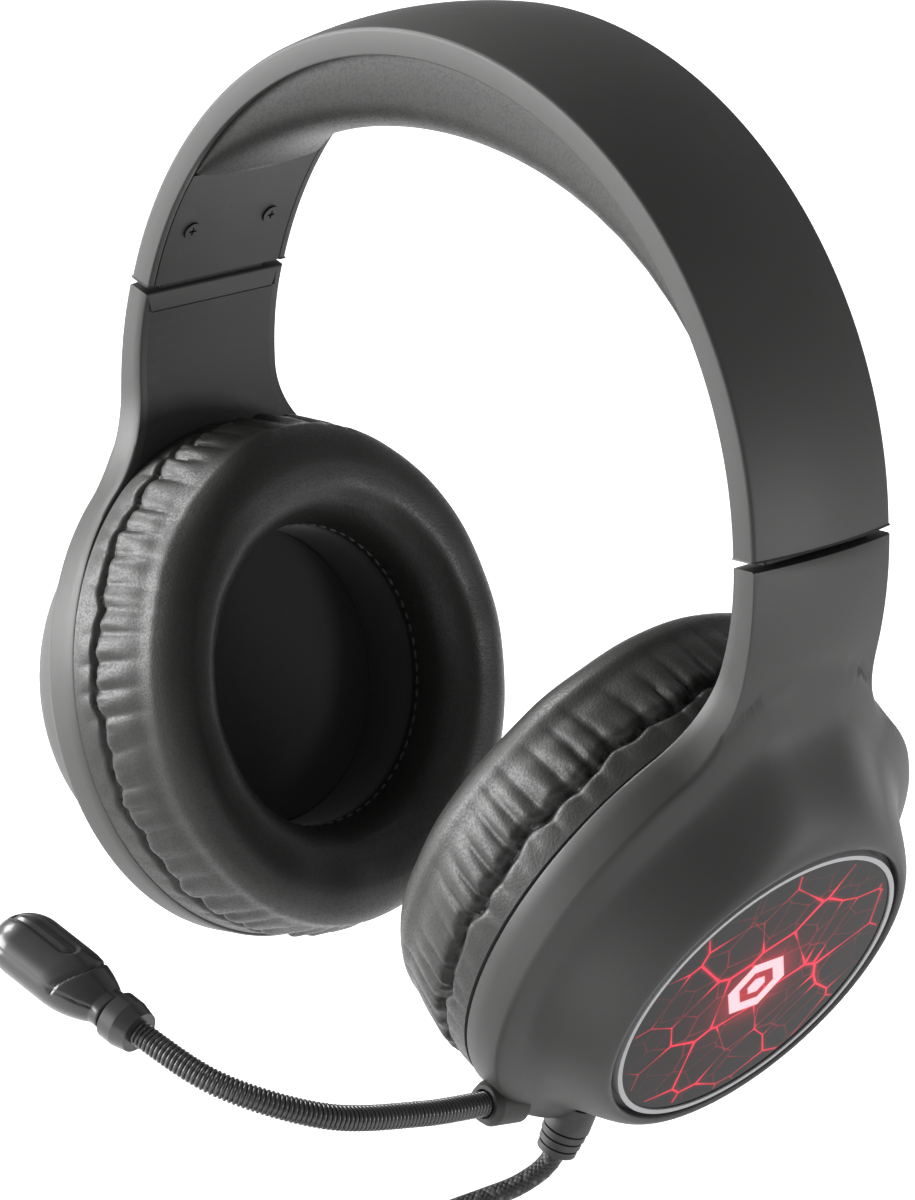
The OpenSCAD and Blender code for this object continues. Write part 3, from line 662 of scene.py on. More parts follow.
@dataclass(frozen=True)
class Gloss:
    """Polished plastic or lacquer with hair scratches."""

    colour: Colour
    roughness: float = 0.16
    coat: float = 0.6

    def make(self, name: str) -> bpy.types.Material:
        """The finish as a material."""
        g = Graph(name)
        turn = g.node("ShaderNodeMapping", values={"Vector": g.place, "Scale": (1.0, 9.0, 3.0)})
        hair = g.noise(1.5, 2, 0.6, turn.outputs[0])
        smear = g.noise(7, 3)
        light = tuple(min(1.0, c * 1.5 + 0.004) for c in self.colour)
        g.colour(g.mixed(smear, self.colour, light))
        g.rough(self.roughness + 0.08 * smear + 0.05 * hair)
        g.bump(hair, 0.003, 0.3)
        g.set(Coat_Weight=self.coat, Coat_Roughness=0.08)
        return g.material


@dataclass(frozen=True)
class Metal:
    """Rolled or turned metal with fine lines."""

    colour: Colour
    roughness: float = 0.32

    def make(self, name: str) -> bpy.types.Material:
        """The finish as a material."""
        g = Graph(name)
        turn = g.node("ShaderNodeMapping", values={"Vector": g.place, "Scale": (1.0, 14.0, 1.0)})
        lines = g.noise(2.5, 3, 0.6, turn.outputs[0])
        cloud = g.noise(5, 3)
        g.colour(g.mixed(cloud, tuple(c * 0.85 for c in self.colour), self.colour))
        g.rough(self.roughness + 0.12 * lines + 0.08 * cloud - 0.08)
        g.bump(lines, 0.01, 0.5)
        g.set(Metallic=1.0)
        return g.material


@dataclass(frozen=True)
class Rubber:
    """Soft moulded rubber with a dusty bloom."""

    colour: Colour
    roughness: float = 0.62

    def make(self, name: str) -> bpy.types.Material:
        """The finish as a material."""
        g = Graph(name)
        bloom = g.noise(4, 4, 0.6)
        fine = g.noise(0.25, 1)
        g.colour(g.mixed(bloom.ramp(0.35, 0.75), self.colour, tuple(c * 1.5 + 0.01 for c in self.colour)))
        g.rough(self.roughness + 0.12 * bloom)
        g.bump(fine + bloom * 0.3, 0.02, 0.6)
        return g.material


@dataclass(frozen=True)
class Braid:
    """Braided sleeve over the lead: crossing strands with lighter flecks, on the piece's UV map."""

    colour: Colour
    fleck: Colour
    strands: int = 8
    lay_mm: float = 9.0

    def make(self, name: str) -> bpy.types.Material:
        """The finish as a material."""
        g = Graph(name)
        u, v, _ = g.split(g.uv)
        round_ = u * float(self.strands)
        run = v * (self.strands / (self.lay_mm * MM))
        right, left = round_ + run, round_ - run
        over = g.maths("SINE", right * math.pi)
        under = g.maths("SINE", left * math.pi)
        weave = abs(over) ** 0.6 * 0.5 + abs(under) ** 0.6 * 0.5
        cell = g.node("ShaderNodeCombineXYZ", values={
            0: g.maths("FLOOR", right), 1: g.maths("FLOOR", left), 2: 0.0})
        pick = g.node("ShaderNodeTexWhiteNoise", {"noise_dimensions": "3D"}, {"Vector": cell.outputs[0]})
        chosen = Signal(g, pick.outputs["Value"]).ramp(0.72, 0.8)
        g.colour(g.mixed(chosen * weave, g.mixed(weave, tuple(c * 0.3 for c in self.colour), self.colour),
                         self.fleck))
        g.rough(0.5 + 0.2 * (1 - weave))
        g.bump(weave + g.noise(0.15, 1) * 0.2, 0.25, 0.8)
        return g.material


@dataclass(frozen=True)
class Cloth:
    """Plain woven cloth."""

    colour: Colour
    thread_mm: float = 0.6

    def make(self, name: str) -> bpy.types.Material:
        """The finish as a material."""
        g = Graph(name)
        x, y, z = g.split(g.place)
        step = 2 * math.pi / (self.thread_mm * MM)
        warp = g.maths("SINE", y * step)
        weft = g.maths("SINE", (z + x * 0.4) * step)
        weave = abs(warp * weft) * 0.35
        fuzz = g.noise(0.4, 3)
        g.colour(g.mixed(weave + fuzz * 0.3, tuple(c * 0.7 for c in self.colour), self.colour))
        g.rough(0.86 + 0.1 * fuzz)
        g.bump(weave + fuzz * 0.2, 0.05, 0.5)
        g.set(Sheen_Weight=0.15)
        return g.material


@dataclass(frozen=True)
class CircuitBoard:
    """Green solder mask with paler tracks."""

    colour: Colour = (0.02, 0.12, 0.04)

    def make(self, name: str) -> bpy.types.Material:
        """The finish as a material."""
        g = Graph(name)
        tracks = Signal(g, g.node("ShaderNodeTexBrick", values={
            "Vector": g.place, "Scale": 1 / (4 * MM), "Mortar Size": 0.03}).outputs["Fac"])
        g.colour(g.mixed(tracks, self.colour, (0.08, 0.3, 0.1)))
        g.rough(0.3 + 0.15 * g.noise(2, 2))
        g.bump(tracks, 0.04, 0.6)
        return g.material


@dataclass(frozen=True)
class Film:
    """Pale moulded film with rings pressed in it."""

    centre: Colour
    colour: Colour = (0.5, 0.45, 0.33)

    def make(self, name: str) -> bpy.types.Material:
        """The finish as a material."""
        g = Graph(name)
        from_centre = g.vector("SUBTRACT", g.place, self.centre).outputs[0]
        far = Signal(g, g.vector("LENGTH", from_centre).outputs["Value"])
        rings = g.maths("SINE", far * (2 * math.pi / (1.8 * MM)))
        g.colour(g.mixed(g.noise(3, 2), tuple(c * 0.8 for c in self.colour), self.colour))
        g.rough(0.25 + 0.1 * abs(rings))
        g.bump(rings, 0.12, 0.7)
        return g.material


@dataclass(frozen=True)
class LitWindow:
    """Smoked window with a glowing web of straight lines and a plain hexagon at its middle."""

    centre: Colour
    across: Colour
    upward: Colour
    radius: float
    glow: Colour = (1.0, 0.012, 0.05)
    mark: Colour = (1.0, 0.42, 0.46)

    def make(self, name: str) -> bpy.types.Material:
        """The finish as a material."""
        g = Graph(name)
        from_centre = g.vector("SUBTRACT", g.place, self.centre).outputs[0]
        x = Signal(g, g.vector("DOT_PRODUCT", from_centre, self.across).outputs["Value"]) / self.radius
        y = Signal(g, g.vector("DOT_PRODUCT", from_centre, self.upward).outputs["Value"]) / self.radius
        flat = g.node("ShaderNodeCombineXYZ", values={0: x + 3.3, 1: y + 7.1, 2: 0.0}).outputs[0]
        far = g.maths("SQRT", x * x + y * y)

        def web(scale: float, width: float) -> tuple[Signal, Signal]:
            """Lines between cells and the brightness of their knots.

            Args:
                scale: Cells per window radius.
                width: Half width of a line in window radii.
            Returns:
                The lines and the knots.
            """
            edge = g.node("ShaderNodeTexVoronoi", {"voronoi_dimensions": "2D", "feature": "DISTANCE_TO_EDGE"},
                          {"Vector": flat, "Scale": scale})
            near = g.node("ShaderNodeTexVoronoi", {"voronoi_dimensions": "2D", "feature": "F1"},
                          {"Vector": flat, "Scale": scale})
            knots = Signal(g, near.outputs["Distance"]).ramp(0.38, 0.8)
            gap = Signal(g, edge.outputs["Distance"]) / (0.45 + 1.1 * knots)
            lines = 1 - gap.ramp(width * scale * 0.3, width * scale)
            halo = (1 - gap.ramp(0.0, 0.14)) ** 2
            return lines + halo * halo * 0.15, knots

        broad, knots = web(2.7, 0.0065)
        thin, _ = web(4.1, 0.0035)
        fade = 1 - far.ramp(0.5, 0.97)
        heart = 1 - far.ramp(0.05, 0.75)
        lit = (broad * (0.22 + 1.4 * knots) + thin * 0.16) * (0.25 + 0.75 * fade)
        wash = heart ** 2 * 0.06
        hexagon = g.maths("MAXIMUM", abs(x) * 0.866 + abs(y) * 0.5, abs(y))
        ring = 1 - abs(hexagon - 0.165).ramp(0.034, 0.046)
        core = 1 - hexagon.ramp(0.055, 0.07)
        sign = g.maths("MAXIMUM", ring, core)
        halo = (1 - far.ramp(0.1, 0.45)) ** 2 * 0.35
        inside = 1 - far.ramp(0.955, 0.965)
        red = g.mixed((lit * 0.95 + wash + halo * 0.6) * inside, (0.0, 0.0, 0.0), self.glow)
        g.give(g.shader.inputs["Emission Color"], g.mixed(sign, red, self.mark))
        g.shader.inputs["Emission Strength"].default_value = 1.6
        g.colour(g.mixed(far.ramp(0.6, 1.0), (0.010, 0.003, 0.004), (0.006, 0.006, 0.006)))
        g.rough(0.1 + 0.06 * g.noise(6, 2))
        g.bump(g.noise(8, 1), 0.01, 0.3)
        g.set(Specular_IOR_Level=0.08)
        return g.material


# ---------------------------------------------------------------- studio

@dataclass
class Studio:
    """Camera, floor and soft lights."""

    aim: Colour = (0.0, 0.0, -0.0774)
    away: Colour = (0.64508, -0.66515, 0.37609)
    right: Colour = (0.68850, 0.71945, 0.09149)
    up: Colour = (-0.33143, 0.19992, 0.92206)
    distance: float = 1.06597
    lens: float = 172.62
    sensor: float = 36.0
    clip: tuple[float, float] = (0.05, 30.0)
    shift: tuple[float, float] = (-0.0194, -0.0436)
    floor_z: float = -0.2125
    floor_half: float = 3.0
    surround: float = 0.36

    def camera(self) -> None:
        """Places the camera."""
        data = bpy.data.cameras.new("View")
        data.lens, data.sensor_width, data.sensor_fit = self.lens, self.sensor, "AUTO"
        data.shift_x, data.shift_y = self.shift
        data.clip_start, data.clip_end = self.clip
        view = bpy.data.objects.new("View", data)
        place = [a + b * self.distance for a, b in zip(self.aim, self.away)]
        view.matrix_world = Matrix([
            (self.right[k], self.up[k], self.away[k], place[k]) for k in range(3)] + [(0, 0, 0, 1)])
        bpy.context.scene.collection.objects.link(view)
        bpy.context.scene.camera = view

    def floor(self) -> None:
        """Lays the pale floor."""
        g = Graph("Floor_pale")
        g.colour(g.mixed(g.noise(400, 2), (0.93, 0.93, 0.93), (0.96, 0.96, 0.96)))
        g.rough(0.7)
        g.shader.inputs["Emission Color"].default_value = (1, 1, 1, 1)
        g.set(Emission_Strength=0.6, Specular_IOR_Level=0.2)
        h, z = self.floor_half / MM, self.floor_z / MM
        corners = np.array([(-h, -h, z), (h, -h, z), (h, h, z), (-h, h, z)])
        floor = mesh_piece("Floor", corners, [(0, 1, 2, 3)], [g.material])

    def light(self, name: str, at: Colour, size: float, power: float) -> None:
        """One soft square light that faces the headset."""
        data = bpy.data.lights.new(name, "AREA")
        data.shape, data.size, data.energy = "SQUARE", size, power
        lamp = bpy.data.objects.new(name, data)
        back = unit(np.array(at) - np.array(self.aim))
        side = unit(np.cross([0.0, 0.1, 1.0], back))
        high = np.cross(back, side)
        lamp.matrix_world = Matrix([(side[k], high[k], back[k], at[k]) for k in range(3)] + [(0, 0, 0, 1)])
        bpy.context.scene.collection.objects.link(lamp)

    def build(self) -> None:
        """Builds the whole studio."""
        self.camera()
        self.floor()
        self.light("Left_front_softbox", (-1.15, -1.0, 0.0), 1.1, 66)
        self.light("Left_high_softbox", (-1.2, -0.2, 0.7), 0.5, 16)
        self.light("Right_small_softbox", (1.05, 0.5, -0.05), 0.22, 3.2)
        world = bpy.data.worlds.new("Studio")
        world.use_nodes = True
        back = world.node_tree.nodes["Background"]
        back.inputs[0].default_value = (1, 1, 1, 1)
        back.inputs[1].default_value = self.surround
        bpy.context.scene.world = world
        bpy.context.scene.view_settings.view_transform = "Standard"


# ---------------------------------------------------------------- the finishes of this headset

class Rack:
    """Every finish of the headset, made once and taken by slot name."""

    def __init__(self, cups: dict[Side, "CupFrame"]) -> None:
        """Makes the finishes that don't depend on a side."""
        black = (0.012, 0.012, 0.012)
        self.finishes = {
            "shell_plastic": MouldedPlastic((0.032, 0.032, 0.031), 0.46),
            "cover_plastic": MouldedPlastic((0.022, 0.022, 0.021), 0.5, 0.4, 0.02),
            "pad_leather": Leatherette((0.022, 0.022, 0.021), 0.44, 0.55, 0.025),
            "cushion_leather": Leatherette((0.015, 0.015, 0.014), 0.40, 0.5, 0.03),
            "spring_steel": Metal((0.10, 0.10, 0.105), 0.38),
            "screw_black": Metal((0.05, 0.05, 0.05), 0.4),
            "screw_zinc": Metal((0.5, 0.5, 0.5), 0.3),
            "wire_rubber": Rubber(black),
            "guide_plastic": MouldedPlastic((0.02, 0.02, 0.02), 0.4),
            "baffle_plastic": MouldedPlastic((0.014, 0.014, 0.014), 0.55),
            "driver_plastic": MouldedPlastic((0.05, 0.06, 0.05), 0.45),
            "magnet_metal": Metal((0.4, 0.4, 0.42), 0.25),
            "speaker_fabric": Cloth((0.02, 0.02, 0.02), 0.9),
            "trim_grey": MouldedPlastic((0.30, 0.30, 0.31), 0.32, 0.3, 0.01),
            "light_diffuser": MouldedPlastic((0.8, 0.76, 0.76), 0.5),
            "circuit_board": CircuitBoard(),
            "gooseneck_black": Gloss((0.018, 0.018, 0.018), 0.3, 0.5),
            "mic_gloss": Gloss((0.012, 0.012, 0.012), 0.3, 0.3),
            "mic_metal": Metal((0.55, 0.55, 0.55), 0.3),
            "relief_rubber": Rubber((0.022, 0.022, 0.022), 0.5),
            "lead_braid": Braid((0.02, 0.02, 0.02), (0.09, 0.09, 0.09)),
            "plug_rubber": Rubber(black, 0.5),
            "plug_metal": Metal((0.6, 0.6, 0.6), 0.25),
            "plug_white": MouldedPlastic((0.75, 0.75, 0.74), 0.4),
            "thread": Cloth((0.05, 0.05, 0.05), 0.25),
        }
        self.made: dict[str, bpy.types.Material] = {}
        for side, cup in cups.items():
            self.finishes["diaphragm_" + side.word] = Film(cup.metres(-6, 0, 0))
            self.finishes["window_" + side.word] = LitWindow(
                cup.metres(cup.dome_h, 0, 0), (0.0, 1.0, 0.0), cup.up_axis(), cup.window_r * MM)

    def take(self, slot: str) -> bpy.types.Material:
        """The material of a slot."""
        if slot not in self.made:
            self.made[slot] = self.finishes[slot].make("Finish_" + slot)
        return self.made[slot]


def dress_frame(rack: Rack) -> None:
    """Gives every CAD node the finish of its slot.

    Args:
        rack: The finishes.
    """
    by_side = {"window_smoke": "window_", "diaphragm_film": "diaphragm_"}
    for entry in frame["record"]["subparts"]:
        name, slot = entry["node"], entry["material_slot"]
        if slot in by_side:
            slot = by_side[slot] + name.rsplit("_", 1)[1]
        node = frame["nodes"][name]
        for place in node.material_slots:
            place.material = rack.take(slot)
        log.info("%s: finish %s", name, slot)


# ---------------------------------------------------------------- headband

@dataclass
class Headband:
    """The arched shell and its leatherette pad, in millimetres."""

    rack: Rack
    outer_r: float = 83.5
    depth: float = 5.0
    centre_z: float = -60.9
    half_w: float = 17.5
    crown: float = 1.8
    wall: float = 1.3
    flange: float = 1.6
    end_deg: float = 80.5
    corner: float = 0.7
    edge: float = 0.35
    root: float = 0.4
    ease: float = 0.3
    arch_stations: int = 181
    pad_drop: float = 17.6
    pad_end_deg: float = 60.6
    pad_sag_deg: float = 1.5
    pad_half_w: float = 15.75
    pad_base: float = 2.9
    stations: int = 72
    columns: int = 24

    @property
    def inner_r(self) -> float:
        """Radius of the flanges' lower edge."""
        return self.outer_r - self.depth

    def at(self, r: Points, y: Points, phi: Points) -> Points:
        """Points at radius r, breadth y and angle phi (radians) on the arch."""
        return np.stack([r * np.sin(phi), y + 0 * phi, self.centre_z + r * np.cos(phi)], -1)

    def section(self) -> Points:
        """The shell's section as points of radius and breadth."""
        w, r0, r1, roof = self.half_w, self.inner_r, self.outer_r, self.outer_r - self.wall
        v = np.linspace(-1, 1, 31)[1:-1]
        crown = [(r1 + self.crown * (1 - t * t), t * w) for t in v]
        inner = w - self.flange
        corners = [(r0, -w), (r1, -w), *crown, (r1, w), (r0, w), (r0, inner), (roof, inner),
                   (roof, -inner), (r0, -inner)]
        radii = [self.edge, self.corner, *[0] * len(crown), self.corner, self.edge, self.edge,
                 self.root, self.root, self.edge]
        return rounded(corners, radii)

    def shell(self) -> bpy.types.Object:
        """The shell with rounded corners and eased ends."""
        ring = self.section()
        eased = drawn_in(ring, -self.ease)
        end, ease = math.radians(self.end_deg), self.ease / self.outer_r
        phis = np.concatenate([[-end], np.linspace(-end + ease, end - ease, self.arch_stations), [end]])
        rings = [self.at(s[:, 0], s[:, 1], np.full(len(s), phi))
                 for phi, s in zip(phis, [eased] + [ring] * self.arch_stations + [eased])]
        count = len(ring)
        faces = grid_faces(len(rings), count)
        faces += [tuple(reversed(range(count))), tuple((len(rings) - 1) * count + i for i in range(count))]
        return mesh_piece("Band_shell", np.concatenate(rings), faces, [self.rack.take("shell_plastic")],
                          crease_deg=35)

    def pad_surface(self, rows: int, cols: int, share: float) -> Points:
        """The hanging face of the pad.

        Args:
            rows: Stations along the arch.
            cols: Columns across it.
            share: How full it hangs.
        Returns:
            Points as rows by columns by 3.
        """
        t = np.linspace(-1, 1, rows)[:, None]
        v = -np.cos(math.pi * np.linspace(0, 1, cols))[None, :]
        phi = t * (self.pad_end_deg + self.pad_sag_deg * (1 - v * v))
        reach = np.clip(1 - (phi / (self.pad_end_deg + self.pad_sag_deg + 0.4)) ** 2, 0, 1)
        depth = np.maximum(0.5, self.pad_drop * share * reach ** 0.95)
        r = self.inner_r - depth * (1 - v * v).clip(0, 1) ** 0.40
        return self.at(r, v * self.pad_half_w, np.radians(phi))

    def pad(self) -> bpy.types.Object:
        """The pad: a puffed skin with faint cross wrinkles, closed by its base."""
        rows, cols = self.stations, self.columns
        start = self.pad_surface(rows, cols, 0.95)
        edge = np.zeros((rows, cols), bool)
        edge[:, [0, -1]] = True
        edge[[0, -1], :] = True
        skin = [tuple(reversed(f)) for f in grid_faces(rows, cols, wrap_cols=False)]
        puff = Inflation().run("Pad_skin", start.reshape(-1, 3), skin, edge.ravel())
        fine_rows, fine_cols = rows * 4, cols * 3
        full = self.pad_surface(fine_rows, fine_cols, 0.985)
        grown = spread(puff.reshape(rows, cols, 3), fine_rows, fine_cols)
        t = np.linspace(-1, 1, fine_rows)[:, None]
        v = -np.cos(math.pi * np.linspace(0, 1, fine_cols))[None, :]
        wrinkle = 0.10 * np.sin(41 * t + 3 * v) * np.sin(17 * t + 2.0) * smooth(0.45, 0.9, np.abs(v))
        wrinkle = wrinkle * smooth(0.97, 0.8, np.abs(t))
        phi = np.radians(t * self.pad_end_deg)
        normal = self.at(-np.ones_like(phi * v), 0 * phi * v, phi + 0 * v) - self.at(
            np.zeros_like(phi * v), 0 * phi * v, phi + 0 * v)
        lower = full + grown + normal * (wrinkle * (1 - v ** 8))[..., None]
        upper = self.at(np.full((fine_rows, fine_cols), self.inner_r + self.pad_base - 0.1),
                        v * self.pad_half_w + 0 * t,
                        np.radians(t * (self.pad_end_deg + self.pad_sag_deg * (1 - v * v))))
        ring = np.concatenate([lower, upper[:, ::-1]], 1)
        count = 2 * fine_cols
        faces = grid_faces(fine_rows, count)
        for row, order in ((0, 1), (fine_rows - 1, -1)):
            base = row * count
            for i in range(fine_cols - 1):
                quad = (base + i, base + i + 1, base + count - 2 - i, base + count - 1 - i)
                faces.append(quad[::order])
        return mesh_piece("Band_pad", ring.reshape(-1, 3), faces, [self.rack.take("pad_leather")],
                          flip=True, crease_deg=60)

    def build(self) -> None:
        """Builds, declares and reports the shell and pad."""
        declare(self.shell(), "headband", "shell_plastic", "headband_shell")
        pad = self.pad()
        declare(pad, "headband", "pad_leather", "headband_pad")


def spread(values: Points, rows: int, cols: int, wrap: bool = False) -> Points:
    """A grid of vectors resampled to a finer grid.

    Args:
        values: Rows by columns by 3.
        rows: Rows wanted.
        cols: Columns wanted.
        wrap: The columns close on themselves.
    Returns:
        The finer grid.
    """
    if wrap:
        values = np.concatenate([values, values[:, :1]], 1)
        at_col = np.arange(cols) / cols
    else:
        at_col = np.linspace(0, 1, cols)
    old_r, old_c = np.linspace(0, 1, values.shape[0]), np.linspace(0, 1, values.shape[1])
    wide = np.stack([[np.interp(at_col, old_c, row[:, k]) for row in values] for k in range(3)], -1)
    at_row = np.linspace(0, 1, rows)
    return np.stack([np.stack([np.interp(at_row, old_r, wide[:, j, k]) for j in range(cols)], 1)
                     for k in range(3)], -1)


# ---------------------------------------------------------------- cups

@dataclass(frozen=True)
class CupFrame:
    """Where one cup stands: local n outward, y back, s up, in millimetres."""

    side: Side
    x: float = 64.0
    drop: float = 127.9
    tilt_deg: float = 22.0
    dome_h: float = 17.2
    window_r: float = 30.8

    def place(self, n: Points, y: Points, s: Points) -> Points:
        """Local points as points of the headset."""
        c, d = math.cos(math.radians(self.tilt_deg)), math.sin(math.radians(self.tilt_deg))
        n, y, s = np.broadcast_arrays(np.asarray(n, float), np.asarray(y, float), np.asarray(s, float))
        return np.stack([self.side.value * (self.x + n * c + s * d), y, -self.drop - n * d + s * c], -1)

    def metres(self, n: float, y: float, s: float) -> Colour:
        """One local point in metres."""
        return tuple(float(v) * MM for v in self.place(n, y, s))

    def up_axis(self) -> Colour:
        """The local s direction."""
        a = math.radians(self.tilt_deg)
        return (self.side.value * math.sin(a), 0.0, math.cos(a))


@dataclass
class CupOutline:
    """Plan of the cup and its arm: an oval, a fillet and the arm's straight edge on each side."""

    arm_half: float = 17.5
    arm_top: float = 0.0
    oval_back: float = 0.99
    oval_front: float = 0.9
    fillet_back: float = 20.0
    fillet_front: float = 24.0

    def half(self, r: float, f: float, k: float) -> Points:
        """One half from the arm's top middle to just short of the cup's bottom.

        Args:
            r: Radius of the oval before it is narrowed.
            f: Fillet radius.
            k: How much the half is narrowed.
        Returns:
            Points of y and s.
        """
        y = self.arm_half / k + f
        mid = np.array([y, math.sqrt((r + f) ** 2 - y * y)])
        turn = math.atan2(mid[1], mid[0])
        top = [(self.arm_half / k * t, self.arm_top) for t in np.arange(12) / 12]
        edge = [(self.arm_half / k, mix(self.arm_top, mid[1], t)) for t in np.arange(16) / 16]
        fillet = [mid - f * np.array([math.cos(turn * t), math.sin(turn * t)]) for t in np.arange(20) / 20]
        oval = [r * np.array([math.cos(a), math.sin(a)])
                for a in mix(turn, -math.pi / 2, np.arange(90) / 90)]
        half = np.array(top + edge + [tuple(p) for p in fillet] + [tuple(p) for p in oval])
        half[:, 0] *= k
        return half

    def whole(self, r: float) -> Points:
        """The closed plan for an oval of radius r."""
        back = self.half(r, self.fillet_back, self.oval_back)
        front = self.half(r, self.fillet_front, self.oval_front)[1:][::-1]
        return np.concatenate([back, [[0.0, -r]], front * [-1, 1]])


@dataclass
class Cup:
    """One ear cup: its housing with the arm, the tongue, the cushion and its stitches."""

    rack: Rack
    frame: CupFrame
    puff: Points
    cup_r: float = 50.0
    rim_n: float = -8.2
    flare: float = 0.8
    wall: float = 2.2
    window_t: float = 2.0
    groove_r: float = 33.0
    band_crown: float = 1.8
    arm_start: float = 28.0
    arm_handle: float = 19.0
    arm_lean_deg: float = 31.5
    arm_t: float = 5.0
    slide_gap: float = 1.5
    band_r: float = 83.5
    band_z: float = -60.9
    band_end_deg: float = 80.5
    span_spare: float = 2.0
    end_wall: float = 3.8
    hole_r: float = 29.0
    window_gap: float = 0.4
    cheek: float = 0.6
    least_under: float = -2.4
    tongue_w: float = 26.0
    tongue_t: float = 2.6
    tongue_root: float = 0.4
    strip_depth: float = 2.2
    strip_lean_deg: float = 15.5
    plan: CupOutline = field(default_factory=CupOutline)

    def __post_init__(self) -> None:
        """Works out the arm's ends, one gap past the headband's end, and its span."""
        self.arm_in_end = self.past_band(self.band_r - self.arm_t)
        self.arm_out_end = self.past_band(self.band_r)
        self.span = math.dist(self.arm_in_end, (self.rim_n, self.arm_start)) + self.span_spare
        self.plan.arm_top = self.arm_start + self.span

    def past_band(self, r: float) -> tuple[float, float]:
        """A point one gap past the headband's end at radius r, as the cup's n and s."""
        end, tilt = math.radians(self.band_end_deg), math.radians(self.frame.tilt_deg)
        x = r * math.sin(end) + self.slide_gap * math.cos(end) - self.frame.x
        z = self.band_z + r * math.cos(end) - self.slide_gap * math.sin(end) + self.frame.drop
        return (x * math.cos(tilt) - z * math.sin(tilt), x * math.sin(tilt) + z * math.cos(tilt))

    @property
    def boss_r(self) -> float:
        """Radius of the top of the boss round the window."""
        return self.groove_r + 1.0

    def spine(self, n0: float, last: tuple[float, float], s: Points) -> Points:
        """A line from the cup's plane up along the arm.

        Args:
            n0: Its distance from the cup's plane on the cup.
            last: Its upper end.
            s: Heights in the plan.
        Returns:
            Points of n and s.
        """
        s = np.asarray(s, float)
        lean = math.radians(self.arm_lean_deg)
        top = np.array(last)
        handle = [(n0, self.arm_start), (n0, self.arm_start + self.arm_handle),
                  top + self.arm_handle * np.array([math.sin(lean), -math.cos(lean)]), top]
        t = np.clip((s - self.arm_start) / self.span, 0, 1)[:, None]
        a, b, c, d = [np.asarray(p, float)[None] for p in handle]
        curve = a * (1 - t) ** 3 + 3 * b * t * (1 - t) ** 2 + 3 * c * t * t * (1 - t) + d * t ** 3
        flat = np.stack([np.full_like(s, n0), s], 1)
        return np.where((s <= self.arm_start)[:, None], flat, curve)

    def on_cup(self, plan: Points, depth: float, height: Union[float, Points] = 0.0) -> Points:
        """Plan points as points of the headset.

        Args:
            plan: Points of y and s.
            depth: From the rim (0) to the crease (1).
            height: Above the crease.
        Returns:
            Points of the headset.
        """
        a = self.spine(self.rim_n, self.arm_in_end, plan[:, 1])
        b = self.spine(0.0, self.arm_out_end, plan[:, 1])
        p = mix(a, b, depth) + unit(b - a) * np.broadcast_to(height, (len(plan),))[:, None]
        return self.frame.place(p[:, 0], plan[:, 0], p[:, 1])

    def face_height(self, q: Points, edge: Points) -> Points:
        """Height of the outer face over the crease.

        Args:
            q: Plan points.
            edge: The crease points on the same spokes.
        Returns:
            The heights.
        """
        turn = np.degrees(np.arctan2(np.abs(edge[:, 0]), edge[:, 1]))
        k = np.where(edge[:, 0] > 0, self.plan.oval_back, self.plan.oval_front)
        k = mix(0.5 * (self.plan.oval_back + self.plan.oval_front), k, smooth(0, 40, turn))
        s = np.sin(np.radians(turn))
        oval = self.cup_r / np.sqrt((s / k) ** 2 + 1 - s * s)
        reach = oval + 9.0 * smooth(34, 6, turn)
        t = np.clip((np.linalg.norm(q, axis=1) - self.boss_r) / (reach - self.boss_r), 0, 1)
        crown = self.band_crown * smooth(self.cup_r - 4, self.cup_r + 16, q[:, 1]) * (
            1 - np.minimum(1, np.abs(q[:, 0]) / self.plan.arm_half) ** 2)
        dome = mix((1 - t) ** 0.75, 1 - smooth(0, 0.7, t), 0.62)
        return crown + self.frame.dome_h * dome

    def housing(self) -> bpy.types.Object:
        """The housing and arm as one moulding."""
        crease = self.plan.whole(self.cup_r)
        rim = self.plan.whole(self.cup_r + self.flare)
        inner = drawn_in(crease, -(self.wall + self.cheek))
        rim_in = drawn_in(rim, -self.wall)
        for low in (inner, rim_in):
            low[:, 1] = np.minimum(low[:, 1], self.plan.arm_top - self.end_wall)
        ring_dir = unit(crease)
        top, seat = self.frame.dome_h, self.frame.dome_h - self.window_t - self.window_gap

        def spoke(r: float, n: float) -> Points:
            """A round ring in the cup's plane."""
            return self.frame.place(n, ring_dir[:, 0] * r, ring_dir[:, 1] * r)

        def face(f: float) -> Points:
            """A ring on the outer face at share f from the boss to the crease."""
            q = mix(self.boss_r * ring_dir, crease, f)
            return self.on_cup(q, 1.0, self.face_height(q, crease))

        def under(f: float) -> Points:
            """A ring on the inner face."""
            q = mix(self.boss_r * ring_dir, inner, f)
            return self.on_cup(q, 1.0, np.maximum(self.least_under, self.face_height(q, crease) - self.wall))

